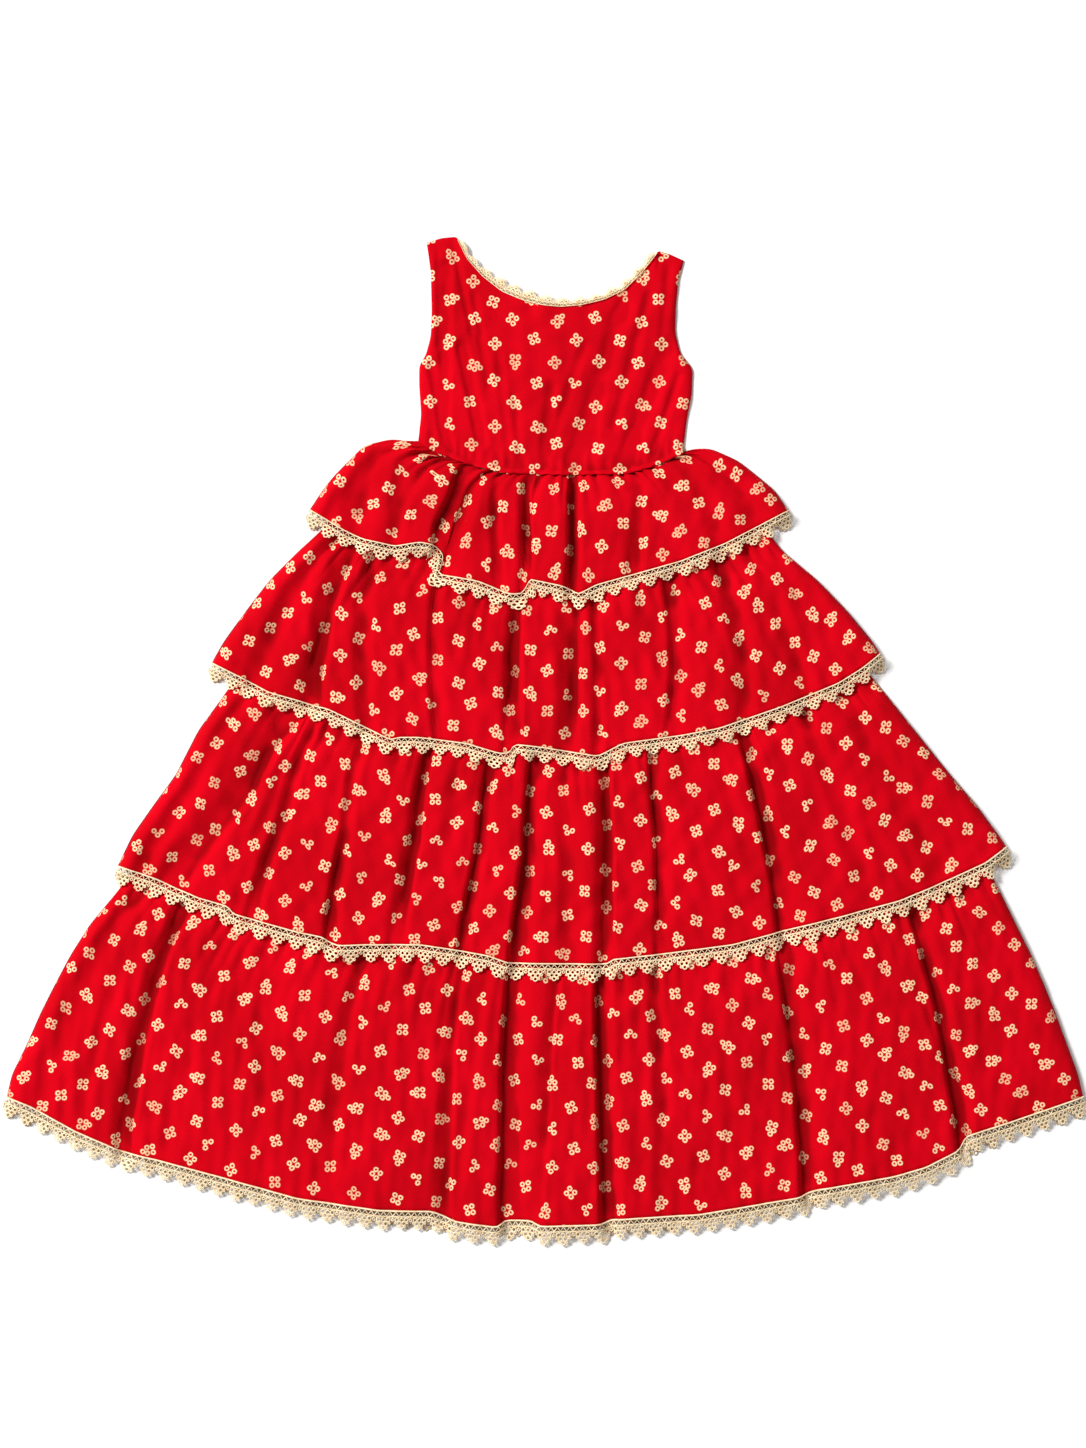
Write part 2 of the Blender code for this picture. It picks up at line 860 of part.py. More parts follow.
def make_lace(sewing, flounce, repeats, fractions, edge, upper):
    """A scalloped strip laid on the hem and hanging past it, one eyelet cut in each repeat."""
    hem = flounce.patch.hem
    width = flounce.tier.lace_width
    outs = (-LACE_LAP, BAND_END, EYELET_END, width)
    top = {}
    bottom = {}
    last = len(fractions) - 1

    def lace_point(fraction, out, lap_only):
        start = on_chord(edge, fraction)
        inner = on_chord(upper, fraction)
        direction = hem_direction(hem, fraction)
        if out <= 0:
            reach = (start - inner).normalized()
            place = start + reach * out
            height = place.z + SEAM_GAP + LACE_WALL * 1.25
            return Vector((place.x, place.y, height)), LACE_WALL * 1.25
        place = Vector((start.x + direction.x * out, start.y - direction.y * out, 0.0))
        upright = LACE_WALL * 1.25
        height = start.z + SEAM_GAP + upright - 0.08 * out
        support = sewing.ground.height(place.x, -place.y, 5.0)
        height = max(height, support + SEAM_GAP + upright + SLACK)
        place.z = height
        return place, upright

    for column, fraction in enumerate(fractions):
        for row, out in enumerate(outs):
            if column in (0, last) and row == 3:
                out = width - SCALLOP_DEEP
            place, upright = lace_point(fraction, out, row == 0)
            top[(column, row)] = tuple(place)
            bottom[(column, row)] = (place.x, place.y, place.z - upright)
    holes = []
    extra = {}
    for repeat in range(repeats):
        holes.append((1 + 2 * repeat, 1))
        if repeat < repeats - 1:
            column = 2 + 2 * repeat
            fraction = mix(fractions[column], fractions[column + 1], 0.5)
            place, upright = lace_point(fraction, width - SCALLOP_DEEP, False)
            key = ("extra", column)
            top[key] = tuple(place)
            bottom[key] = (place.x, place.y, place.z - upright)
            extra[column] = key
    name = flounce.tier.name + "_lace_front"
    sewing.wall(name, "cream_lace", len(fractions), 4, top, bottom, holes, extra.items())


def crease_depth(across, down):
    """How far the bodice's creases sink it here."""
    total = 0.0
    for crease in BODICE_CREASES:
        start = Vector((crease.top_across, crease.top_down))
        end = Vector((crease.end_across, crease.end_down))
        run = end - start
        part = min(max((Vector((across, down)) - start).dot(run) / run.length_squared, 0.0), 1.0)
        distance = (Vector((across, down)) - start.lerp(end, part)).length
        total += crease.depth * trough(distance, crease.width)
    return total


def make_bodice(sewing, crosses):
    """The bodice's two panels, and the lace round the neck."""
    patch = Patch(line_of(BODICE_TOP, 4), line_of(BODICE_LEFT, 10), line_of(BODICE_RIGHT, 10), line_of(WAIST))
    neck_from = fraction_at(patch.seam, NECK_LEFT)
    neck_to = fraction_at(patch.seam, NECK_RIGHT)
    places = {}
    for column, cross in enumerate(crosses):
        sign = 1.0 if column % 2 else -1.0
        for row, fall in enumerate(BODICE_ROWS):
            place = patch.at(cross, fall)
            base = CLOTH_WALL * 2 + SEAM_GAP
            shoulder = smooth_step(fall / 0.12) if not neck_from < cross < neck_to else 1.0
            full = BODICE_LOFT + 1.4 * math.sin(math.pi * min(fall * 1.15, 1.0)) - crease_depth(place.x, place.y)
            full += sign * 0.9 * smooth_step((fall - 0.8) / 0.2) * 0.9
            edge = side_factor(patch, cross, fall) * mix(0.25, 1.0, shoulder)
            height = base + max(full - base, 0.4) * edge
            down = place.y - (SEAM_GAP / 2 if row == len(BODICE_ROWS) - 1 else 0.0)
            places[(column, row)] = (place.x, down, height)
    return patch, places, neck_from, neck_to


def sew_bodice_back(sewing, patch, neck_from, neck_to):
    columns = BACK_COLUMNS
    places = {}
    fractions = [column / columns / 2 for column in range(columns * 2 + 1)]
    waist = line_of(WAIST)
    for column, cross in enumerate(fractions):
        for row, fall in enumerate((0.0, 0.25, 0.5, 0.75, 1.0)):
            place = patch.at(cross, fall)
            if row == 4:
                place = chord_of(waist, cross, columns)
            if row == 0:
                place = place + hem_direction(patch.seam, cross, NECK_REACH) * BACK_NECK_DROP
            down = place.y - (SEAM_GAP / 2 if row == 4 else 0.0)
            places[(column, row)] = (place.x, down, 0.0)
    top = {key: (value[0], -value[1], CLOTH_WALL) for key, value in places.items()}
    bottom = {key: (value[0], -value[1], 0.0) for key, value in places.items()}
    sewing.wall("bodice_back", "red_cotton", len(fractions), 5, top, bottom)


def chord_of(points, cross, columns):
    """The place on the straight pieces between evenly spaced columns."""
    place = min(cross * columns, columns - 1e-9)
    low = int(place)
    return along(points, low / columns).lerp(along(points, (low + 1) / columns), place - low)


def sew_neck_lace(sewing, patch, neck_from, neck_to, back):
    """The neck's edging, laid on the cloth and reaching into the opening."""
    places = {}
    fractions = [0.0]
    for repeat in range(NECK_REPEATS):
        for part in (0.3, 0.7):
            fractions.append((repeat + part) / NECK_REPEATS)
        fractions.append((repeat + 1) / NECK_REPEATS)
    for column, fraction in enumerate(fractions):
        cross = mix(neck_from + NECK_ENDS, neck_to - NECK_ENDS, fraction)
        start = along(patch.seam, cross)
        direction = -hem_direction(patch.seam, cross, NECK_REACH)
        spot = fraction * (len(NECK_LACE_WIDTHS) - 1)
        low = min(int(spot), len(NECK_LACE_WIDTHS) - 2)
        width = mix(NECK_LACE_WIDTHS[low], NECK_LACE_WIDTHS[low + 1], spot - low)
        valley = 0.74 if column % 3 == 0 else 1.0
        if back:
            outs = (SEAM_GAP * 2 - BACK_NECK_DROP, width * 0.7)
        else:
            outs = (-LACE_LAP, 1.0, width * 0.55, width * valley)
        for row, out in enumerate(outs):
            place = start + direction * out
            places[(column, row)] = (place.x, place.y, 0.0)
    if back:
        top = {key: (value[0], -value[1], LACE_WALL) for key, value in places.items()}
        bottom = {key: (value[0], -value[1], 0.0) for key, value in places.items()}
        sewing.wall("neck_lace_back", "cream_lace", len(fractions), 2, top, bottom)
        return
    columns, rows, top, bottom = laid_grid(sewing, places, LACE_WALL, 3.0, 0.1)
    sewing.wall("neck_lace_front", "cream_lace", columns, rows, top, bottom)


def main():
    for item in list(bpy.data.objects):
        bpy.data.objects.remove(item, do_unlink=True)
    collection = bpy.data.collections.new("prairie_dress")
    bpy.context.scene.collection.children.link(collection)
    sewing = Sewing()
    flounces = [Flounce(tier) for tier in TIERS]
    make_backs(sewing, flounces)
    lower = None
    crosses = None
    for flounce in reversed(flounces):
        crosses = make_front(sewing, flounce, lower)
        lower = flounce
    patch, places, neck_from, neck_to = make_bodice(sewing, crosses)
    sew_bodice_back(sewing, patch, neck_from, neck_to)
    sew_neck_lace(sewing, patch, neck_from, neck_to, True)
    columns, rows, top, bottom = laid_grid(sewing, places, CLOTH_WALL, 4.0, 0.0)
    sewing.wall("bodice_front", "red_cotton", columns, rows, top, bottom)
    sew_neck_lace(sewing, patch, neck_from, neck_to, False)
    sewing.finish(collection)


main()
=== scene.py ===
import math
import bpy
import numpy as np
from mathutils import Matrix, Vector


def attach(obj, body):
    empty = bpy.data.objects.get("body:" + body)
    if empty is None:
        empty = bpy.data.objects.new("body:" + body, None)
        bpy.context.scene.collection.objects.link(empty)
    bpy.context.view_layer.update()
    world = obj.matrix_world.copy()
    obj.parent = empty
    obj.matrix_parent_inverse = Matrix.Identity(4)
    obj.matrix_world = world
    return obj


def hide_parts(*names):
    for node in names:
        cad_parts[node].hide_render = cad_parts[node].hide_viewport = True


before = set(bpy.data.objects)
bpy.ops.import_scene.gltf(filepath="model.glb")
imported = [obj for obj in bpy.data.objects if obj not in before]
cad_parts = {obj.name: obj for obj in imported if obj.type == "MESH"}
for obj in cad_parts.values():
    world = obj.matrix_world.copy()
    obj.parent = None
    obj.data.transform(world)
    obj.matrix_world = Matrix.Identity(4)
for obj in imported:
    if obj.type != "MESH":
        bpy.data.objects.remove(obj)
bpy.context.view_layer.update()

print("stage: frame loaded")

# Sizes are in millimetres: across from the dress's middle, down from the higher shoulder.
dressPlace = {"middleAcross": 0.47, "middleDown": 505.556}

# Every outline is a short line of (across, down).
waistLine = [(-126, 204.5), (-104, 216), (-74, 227), (-40, 235), (21, 237), (83, 236), (111, 228), (139, 216)]

tierOne = {
    # across, down, half sizes, depth
    "dips": [(-182, 268, 30, 22, 3.5), (-100, 222, 22, 10, 2.0), (196, 250, 26, 14, 1.5)],
    "name": "tier_1", "seam": waistLine, "laceWidth": 15.5, "loft": (4.6, 11.5, 13.0),
    "gatherCount": 28, "gatherDeep": 5.0, "gatherLong": 42.0, "minorFolds": 14, "seed": 11,
    "left": [(-126, 204.5), (-138, 204.5), (-153, 202.5), (-180, 209), (-195, 224), (-210, 239), (-222, 254),
             (-235, 274)],
    "right": [(139, 216), (148, 212.5), (167, 212), (194, 224), (213, 239), (231, 254), (245, 275)],
    "hem": [(-235, 274), (-200, 295), (-181, 304), (-149, 311), (-124, 307), (-104, 311), (-97, 319), (-98, 328),
            (-102, 339), (-65, 346.5), (-35, 359), (-23, 359), (-16, 344), (18, 351), (34, 359.5), (52, 350),
            (137, 326), (182, 308), (245, 275)],
    # top, hem, width at top and hem, depth at top and hem, lean, steeper side
    "folds": [
        (-121, -192, 10, 20, 2.7, 4.8, 0, 0), (-108, -146, 8, 13, 2.2, 2.6, 0, 0),
        (-66, -95, 10, 22, 5.0, 8.0, -4, -1), (-38, -44, 7, 9, 2.8, 4.4, 0, 0), (-14, -19, 7, 8, 5.0, 11.9, 2, 1),
        (29, 27, 7, 9, 5.6, 11.9, 2, -1), (84, 88, 8, 12, 2.2, 2.8, 0, 0), (116, 176, 8, 14, 2.2, 2.8, 0, 0),
        (131, 214, 8, 14, 1.7, 2.2, 0, 0),
    ],
}

tierTwo = {
    "dips": [(-136, 332, 55, 24, 5.0), (-60, 364, 40, 17, 4.0), (46, 362, 24, 22, 5.0),
             (128, 354, 32, 20, 4.5), (178, 339, 30, 18, 4.5), (-196, 300, 24, 18, 3.0)],
    "name": "tier_2", "laceWidth": 15.5, "loft": (5.2, 12.5, 13.0),
    "gatherCount": 34, "gatherDeep": 2.8, "gatherLong": 70.0, "minorFolds": 18, "seed": 23,
    "seam": [(-202, 272), (-144, 286), (-74, 304), (1, 312), (56, 309), (136, 289), (208, 269)],
    "left": [(-202, 272), (-224, 295), (-245, 314), (-275, 344), (-298, 374), (-320, 404), (-333, 427)],
    "right": [(208, 269), (224, 295), (238, 314), (274, 344), (303, 374), (328, 404), (336.5, 418)],
    "hem": [(-333, 427), (-303, 442), (-275, 457), (-215, 474), (-152, 505), (-147, 502), (-125, 502), (-78, 508),
            (-45, 518), (-33, 518), (-28, 509), (-2, 512), (54, 521), (79, 508), (138, 500), (175, 493), (236, 472),
            (294, 448), (318, 433), (336.5, 418)],
    "folds": [
        (-190, -290, 10, 13, 3.8, 3.8, 0, 0), (-176, -231, 11, 14, 4.4, 10.0, -2, 1),
        (-158, -176, 11, 14, 3.8, 4.4, 0, 0), (-94, -104, 8, 10, 2.8, 3.8, 0, -1),
        (-22, -31, 8, 12, 6.2, 11.2, -2, 1), (31, 22, 15, 15, 6.9, 6.9, 0, 1), (52, 53, 7, 9, 2.2, 3.8, 0, 0),
        (124, 128, 11, 12, 5.6, 3.8, 0, -1), (168, 201, 11, 14, 5.0, 3.8, 0, 0), (189, 262, 9, 12, 3.8, 2.0, 0, 0),
    ],
}

tierThree = {
    "dips": [(-319, 454, 28, 15, 4.0), (-262, 484, 26, 18, 4.0), (-214, 502, 24, 16, 4.0), (186, 516, 18, 20, 4.0),
             (256, 482, 40, 18, 4.0), (321, 454, 30, 14, 4.0), (26, 538, 40, 14, 3.5), (-60, 534, 22, 14, 3.5)],
    "name": "tier_3", "laceWidth": 18.0, "loft": (5.2, 12.5, 13.0),
    "gatherCount": 46, "gatherDeep": 2.8, "gatherLong": 74.0, "minorFolds": 22, "seed": 37,
    "seam": [(-289, 414), (-214, 438), (-144, 458), (-64, 468), (16, 472), (96, 460), (196, 436), (294, 400)],
    "left": [(-289, 414), (-324, 464), (-346, 494), (-369, 539), (-391, 569), (-412, 599), (-427, 630)],
    "right": [(294, 400), (335, 449), (371, 494), (407, 539), (433, 569), (455, 599), (463, 611)],
    "hem": [(-427, 630), (-385, 644), (-346, 662), (-315, 671), (-311, 678), (-289, 684.5), (-248, 696),
            (-221, 701.5), (-206, 710), (-180, 709), (-124, 709), (-97, 713), (-56, 720), (-35, 727.6), (62, 728.5),
            (66, 724), (117, 718.6), (189, 709), (239, 695.5), (297, 681), (356, 665), (392, 650), (441, 627.5),
            (463, 611)],
    "folds": [
        (-270, -404, 9, 12, 2.2, 2.2, 0, 0), (-226, -374, 13, 17, 7.2, 6.0, -2, 1),
        (-212, -292, 8, 10, 2.8, 5.6, 0, 0), (-170, -213, 8, 10, 2.2, 6.8, -2, 0),
        (-108, -147, 8, 12, 6.2, 8.1, 0, 1), (-44, -81, 8, 9, 5.0, 6.9, 0, -1), (-4, -25, 10, 15, 6.2, 11.2, 0, -1),
        (26, 28, 14, 18, 2.2, 3.8, 0, 0), (56, 60, 9, 12, 6.2, 11.2, 2, 1), (102, 118, 8, 12, 5.6, 4.4, 0, -1),
        (184, 241, 9, 13, 4.4, 7.5, 0, -1), (236, 328, 10, 13, 3.8, 2.2, 0, 0), (270, 398, 10, 14, 2.8, 2.2, 0, 0),
    ],
}

tierFour = {
    "dips": [(-414, 659, 35, 18, 4.0), (-359, 679, 20, 20, 3.5), (-184, 726, 40, 16, 4.0),
             (-114, 736, 30, 14, 3.5), (86, 751, 36, 18, 5.0), (241, 726, 24, 24, 4.0), (366, 681, 34, 16, 4.0),
             (416, 656, 30, 14, 4.0)],
    "name": "tier_4", "laceWidth": 20.0, "loft": (5.2, 13.0, 11.8),
    "gatherCount": 58, "gatherDeep": 2.6, "gatherLong": 78.0, "minorFolds": 20, "seed": 53,
    "seam": [(-394, 614), (-314, 634), (-224, 656), (-124, 670), (-34, 679), (56, 679), (156, 667), (256, 647),
             (356, 621), (421, 596)],
    "left": [(-394, 614), (-430, 659), (-455, 689), (-474, 719), (-490, 749), (-505, 779), (-518, 809), (-533, 839),
             (-538, 861)],
    "right": [(421, 596), (451, 644), (473, 689), (488, 719), (501, 749), (513, 779), (524, 809), (535, 839),
              (540, 861)],
    "hem": [(-538, 861), (-515, 870), (-468, 896), (-422, 916), (-381, 926), (-314, 944), (-246, 963), (-164, 975),
            (-111, 976), (-89, 986), (-46, 992), (-40, 985.6), (-12, 985.6), (-5, 991), (58, 989), (65, 984.6),
            (156, 979), (256, 962), (271, 955), (350, 941), (381, 932), (413, 916), (421, 901), (471, 885),
            (540, 861)],
    "folds": [
        (-378, -506, 10, 14, 4.4, 1.7, 0, 0), (-340, -421, 8, 12, 4.4, 10.0, -2, 1),
        (-246, -282, 12, 20, 2.2, 1.7, 0, 0), (-166, -218, 8, 16, 5.6, 1.7, 0, 0),
        (-78, -102, 8, 12, 2.8, 5.0, 0, 1), (-24, -28, 13, 23, 6.2, 11.2, 0, -1), (16, -8, 8, 10, 3.8, 2.8, 0, 1),
        (56, 66, 10, 14, 6.2, 11.2, 2, -1), (104, 128, 9, 16, 5.0, 1.7, 0, 0), (228, 268, 12, 16, 5.6, 7.5, 0, -1),
        (350, 420, 8, 10, 4.4, 10.0, 2, -1),
    ],
}
tiers = [tierOne, tierTwo, tierThree, tierFour]


def evenly(points, count):
    steps = np.hypot(*np.diff(points, axis=0).T)
    lengths = np.concatenate([[0.0], np.cumsum(steps)])
    wanted = np.linspace(0.0, lengths[-1], count + 1)
    return np.stack([np.interp(wanted, lengths, points[:, axis]) for axis in (0, 1)], axis=1)


def softened(points, reach):
    last = len(points) - 1
    index = np.arange(last + 1)
    span = np.minimum(reach, np.minimum(index, last - index))
    total = np.concatenate([[[0.0, 0.0]], np.cumsum(points, axis=0)])
    return (total[index + span + 1] - total[index - span]) / (2 * span + 1)[:, None]


def lineOf(stations, soften=6.0):
    points = evenly(np.array(stations, float), 600)
    step = max(float(np.hypot(*(points[1] - points[0]))), 0.05)
    return evenly(softened(points, max(1, round(soften / 2 / step))), 600)


def lengthOf(points):
    return float(np.hypot(*np.diff(points, axis=0).T).sum())


def along(points, fraction):
    place = np.clip(fraction, 0.0, 1.0) * (len(points) - 1)
    index = np.arange(len(points))
    return np.stack([np.interp(place, index, points[:, axis]) for axis in range(points.shape[1])], axis=-1)


def fractionAt(points, across):
    return float(np.argmin(np.abs(points[:, 0] - across))) / (len(points) - 1)


def smoothStep(amount):
    amount = np.clip(amount, 0.0, 1.0)
    return amount * amount * (3 - 2 * amount)


def mix(first, second, amount):
    return first + (second - first) * amount


def outward(points, fraction, reach=0.03):
    run = along(points, fraction + reach) - along(points, fraction - reach)
    run /= np.linalg.norm(run, axis=-1, keepdims=True)
    return np.stack([-run[..., 1], run[..., 0]], axis=-1)


class Panel:
    def __init__(self, seam, left, right, hem):
        self.seam, self.left, self.right, self.hem = seam, left, right, hem
        self.seamLength, self.hemLength = lengthOf(seam), lengthOf(hem)

    def at(self, cross, fall):
        top, end = along(self.seam, cross), along(self.hem, cross)
        left = along(self.left, fall) - mix(self.left[0], self.left[-1], fall[..., None])
        right = along(self.right, fall) - mix(self.right[0], self.right[-1], fall[..., None])
        cross, fall = cross[..., None], fall[..., None]
        return mix(top, end, fall) + left * (1 - cross) + right * cross

    def width(self, fall):
        return mix(self.seamLength, self.hemLength, fall)


# The height map holds what is already laid down, so that the next piece can lie on it.
groundValues = {"cell": 2.0, "lowAcross": -570.0, "lowDown": -25.0, "columns": 571, "rows": 540}
groundMap = np.zeros((groundValues["rows"], groundValues["columns"]))


def refined(grid, times):
    columns, rows = grid.shape[:2]
    newColumns = np.linspace(0, columns - 1, (columns - 1) * times + 1)
    newRows = np.linspace(0, rows - 1, (rows - 1) * times + 1)
    low = np.minimum(newColumns.astype(int), columns - 2)
    part = (newColumns - low)[:, None, None]
    grid = grid[low] * (1 - part) + grid[low + 1] * part
    low = np.minimum(newRows.astype(int), rows - 2)
    part = (newRows - low)[None, :, None]
    return grid[:, low] * (1 - part) + grid[:, low + 1] * part


def layDown(grid, times=3):
    fine = refined(grid, times).reshape(-1, 3)
    column = np.round((fine[:, 0] - groundValues["lowAcross"]) / groundValues["cell"]).astype(int)
    row = np.round((fine[:, 1] - groundValues["lowDown"]) / groundValues["cell"]).astype(int)
    np.maximum.at(groundMap, (row, column), fine[:, 2])


def spread(values, reach):
    found = values.copy()
    for rowShift in range(-reach, reach + 1):
        for columnShift in range(-reach, reach + 1):
            if rowShift * rowShift + columnShift * columnShift <= reach * reach + 1:
                found = np.maximum(found, np.roll(np.roll(values, rowShift, 0), columnShift, 1))
    return found


def supportAt(across, down, reach):
    high = spread(groundMap, reach)
    soft = high.copy()
    for _ in range(2):
        soft = (soft + np.roll(soft, 1, 0) + np.roll(soft, -1, 0) + np.roll(soft, 1, 1) + np.roll(soft, -1, 1)) / 5
    high = np.maximum(soft, spread(groundMap, 1))
    column = (across - groundValues["lowAcross"]) / groundValues["cell"]
    row = (down - groundValues["lowDown"]) / groundValues["cell"]
    lowColumn, lowRow = np.floor(column).astype(int), np.floor(row).astype(int)
    partColumn, partRow = column - lowColumn, row - lowRow
    upper = mix(high[lowRow, lowColumn], high[lowRow, lowColumn + 1], partColumn)
    lower = mix(high[lowRow + 1, lowColumn], high[lowRow + 1, lowColumn + 1], partColumn)
    return mix(upper, lower, partRow)


def toFrame(points):
    found = np.empty_like(points)
    found[..., 0] = (points[..., 0] - dressPlace["middleAcross"]) * 0.001
    found[..., 1] = (dressPlace["middleDown"] - points[..., 1]) * 0.001
    found[..., 2] = points[..., 2] * 0.001
    return found


def meshObject(name, points, faces, material):
    mesh = bpy.data.meshes.new(name)
    mesh.vertices.add(len(points))
    mesh.vertices.foreach_set("co", points.astype(np.float32).ravel())
    mesh.loops.add(faces.size)
    mesh.loops.foreach_set("vertex_index", faces.astype(np.int32).ravel())
    mesh.polygons.add(len(faces))
    mesh.polygons.foreach_set("loop_start", np.arange(0, faces.size, faces.shape[1], dtype=np.int32))
    mesh.polygons.foreach_set("loop_total", np.full(len(faces), faces.shape[1], np.int32))
    mesh.polygons.foreach_set("use_smooth", np.full(len(faces), True))
    mesh.materials.append(material)
    mesh.update(calc_edges=True)
    mesh.validate()
    item = bpy.data.objects.new(name, mesh)
    bpy.context.scene.collection.objects.link(item)
    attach(item, "root")
    return item


# The print: clusters of small rings on a staggered lattice, each turned its own way.
printValues = {"across": 42.0, "down": 21.0, "jitter": 3.2, "seed": 5}


def cutPlaces(grid):
    columns = grid.shape[0]
    rowStep = np.linalg.norm(np.diff(grid, axis=0), axis=-1)
    across = np.concatenate([np.zeros((1, grid.shape[1])), np.cumsum(rowStep, axis=0)])
    across -= across[columns // 2]
    columnStep = np.linalg.norm(np.diff(grid, axis=1), axis=-1)
    columnStep = columnStep.mean(axis=0, keepdims=True) * 0.5 + columnStep * 0.5
    down = np.concatenate([np.zeros((columns, 1)), np.cumsum(columnStep, axis=1)], axis=1)
    return across, down


def printCoordinates(grid, seed, isFlat):
    across, down = (grid[..., 0] - 12.0, grid[..., 1].copy()) if isFlat else cutPlaces(grid)
    alongRow = np.gradient(grid[..., :2], axis=0)
    alongColumn = np.gradient(grid[..., :2], axis=1)
    alongRow /= np.maximum(np.linalg.norm(alongRow, axis=-1, keepdims=True), 1e-6)
    alongColumn /= np.maximum(np.linalg.norm(alongColumn, axis=-1, keepdims=True), 1e-6)
    skew = np.clip((alongRow * alongColumn).sum(axis=-1), -0.7, 0.7)
    drift = np.gradient(across, axis=1) / np.maximum(np.gradient(down, axis=1), 1e-6)
    for _ in range(12):
        for values in (skew, drift):
            values[1:-1] = (values[:-2] + values[1:-1] + values[2:]) / 3
    if isFlat:
        skew[:], drift[:] = 0.0, 0.0
    shear = np.clip(drift - skew, -0.8, 0.8)
    stretch = np.sqrt(1 - skew * skew)
    corners = [(slice(None, -1), slice(None, -1)), (slice(None, -1), slice(1, None)),
               (slice(1, None), slice(1, None)), (slice(1, None), slice(None, -1))]
    middleAcross = sum(across[c] for c in corners) / 4
    middleDown = sum(down[c] for c in corners) / 4
    middleShear = sum(shear[c] for c in corners) / 4
    table = np.random.RandomState(printValues["seed"] + seed).rand(6, 97, 89)
    best = np.full(middleAcross.shape, 1e9)
    chosen = [np.zeros_like(best) for _ in range(5)]
    baseRow = np.floor(middleDown / printValues["down"]).astype(int)
    for rowStep in (-1, 0, 1, 2):
        row = baseRow + rowStep
        offset = 0.5 * (row % 2)
        baseColumn = np.floor(middleAcross / printValues["across"] - offset).astype(int)
        for columnStep in (-1, 0, 1, 2):
            column = baseColumn + columnStep
            pick = (row % 97, column % 89)
            siteAcross = (column + offset) * printValues["across"] + (table[0][pick] - 0.5) * 2 * printValues["jitter"]
            siteDown = row * printValues["down"] + (table[1][pick] - 0.5) * 2 * printValues["jitter"]
            fall = middleDown - siteDown
            far = np.hypot(middleAcross - siteAcross - middleShear * fall, fall)
            nearer = far < best
            best = np.where(nearer, far, best)
            for place, value in enumerate((siteAcross, siteDown, table[2][pick], table[3][pick], table[4][pick])):
                chosen[place] = np.where(nearer, value, chosen[place])
    siteAcross, siteDown, turn, kind, strength = chosen
    turn = turn * math.tau
    local = []
    for c in corners:
        fall = down[c] - siteDown
        x = across[c] - siteAcross - shear[c] * fall
        y = fall * stretch[c]
        local.append(np.stack([x * np.cos(turn) - y * np.sin(turn), x * np.sin(turn) + y * np.cos(turn)], axis=-1))
    kinds = np.repeat(np.stack([kind, strength], axis=-1)[:, :, None], 4, axis=2)
    weave = [np.stack([across[c], down[c]], axis=-1) for c in corners]
    return np.stack(local, axis=2), kinds, np.stack(weave, axis=2)


def clothObject(name, grid, material, seed, thick=0.6, isFlat=False):
    columns, rows = grid.shape[:2]
    index = np.arange(columns * rows).reshape(columns, rows)
    faces = np.stack([index[:-1, :-1], index[:-1, 1:], index[1:, 1:], index[1:, :-1]], axis=-1).reshape(-1, 4)
    item = meshObject(name, toFrame(grid).reshape(-1, 3), faces, material)
    local, kinds, weave = printCoordinates(grid, seed, isFlat)
    for layer, values in (("print", local), ("printKind", kinds), ("weave", weave * 0.001)):
        uv = item.data.uv_layers.new(name=layer)
        uv.data.foreach_set("uv", values.astype(np.float32).ravel())
    # The painted-shade amount per point, filled in after every piece is laid.
    item.data.attributes.new("paintedShade", "FLOAT", "POINT")
    solid = item.modifiers.new("cloth thickness", "SOLIDIFY")
    solid.thickness = thick * 0.001
    solid.offset = -1.0
    return item


def trough(distance, halfWidth):
    return np.where(np.abs(distance) < halfWidth, 0.5 + 0.5 * np.cos(np.pi * distance / halfWidth), 0.0)


def foldShape(distance, halfWidth, side):
    if side == 0:
        return trough(distance, halfWidth)
    distance = 0.4 * halfWidth - distance * side
    return np.where(distance < 0, trough(distance, 0.5 * halfWidth), trough(distance, 1.6 * halfWidth))


def sideFactor(panel, cross, fall, reach=15.0):
    edge = np.minimum(cross, 1 - cross) * panel.width(fall)
    short = 1 - np.minimum(edge / reach, 1.0)
    return np.sqrt(np.maximum(0.0, 1 - short * short))


flounceValues = {
    "columnStep": 2.6, "rowStep": 4.6, "edgeHeight": 1.7, "lowest": 3.1, "ripple": 0.25, "foldDeeper": 1.3,
    "hemRaise": 1.5, "raisedBy": 0.35, "seamHeight": 3.9, "seamRun": 6.0, "wobble": 0.45, "wobbleRun": 9.0,
    "crumple": 0.55, "crumpleWaves": 14, "crumpleShort": 16.0, "crumpleSpan": 26.0,
    "minorNarrow": 8.0, "minorSpan": 14.0, "minorShallow": 0.8, "minorDeeper": 2.4,
}


def flouncePanel(tier):
    return Panel(lineOf(tier["seam"]), lineOf(tier["left"], 14), lineOf(tier["right"], 14), lineOf(tier["hem"]))


def seamWobble(cross):
    wave = np.sin(math.tau * 28 * cross + 1.6 * np.sin(cross * 19))
    return flounceValues["wobble"] * wave * np.sin(np.pi * cross) ** 0.5


def gatherHeight(tier, panel, cross, fall):
    random = np.random.RandomState(tier["seed"])
    warp = cross + 0.006 * np.sin(cross * 31 + 1.0) + 0.004 * np.sin(cross * 77 + 2.0)
    wave = np.abs(np.cos(np.pi * tier["gatherCount"] * warp)) ** 0.85
    strengths = 0.45 + 0.75 * random.rand(tier["gatherCount"] + 3)
    lengths = tier["gatherLong"] * (0.45 + 0.9 * random.rand(tier["gatherCount"] + 3))
    place = np.clip(warp * tier["gatherCount"], 0, tier["gatherCount"])
    strength = np.interp(place, np.arange(len(strengths)), strengths)
    length = np.interp(place, np.arange(len(lengths)), lengths)
    deep = fall * (lengthOf(panel.left) + lengthOf(panel.right)) / 2
    start = smoothStep((deep + 2.0) / 5.0)
    return tier["gatherDeep"] * strength * (wave - 0.62) * 2 * start * np.exp(-(deep / length) ** 2)


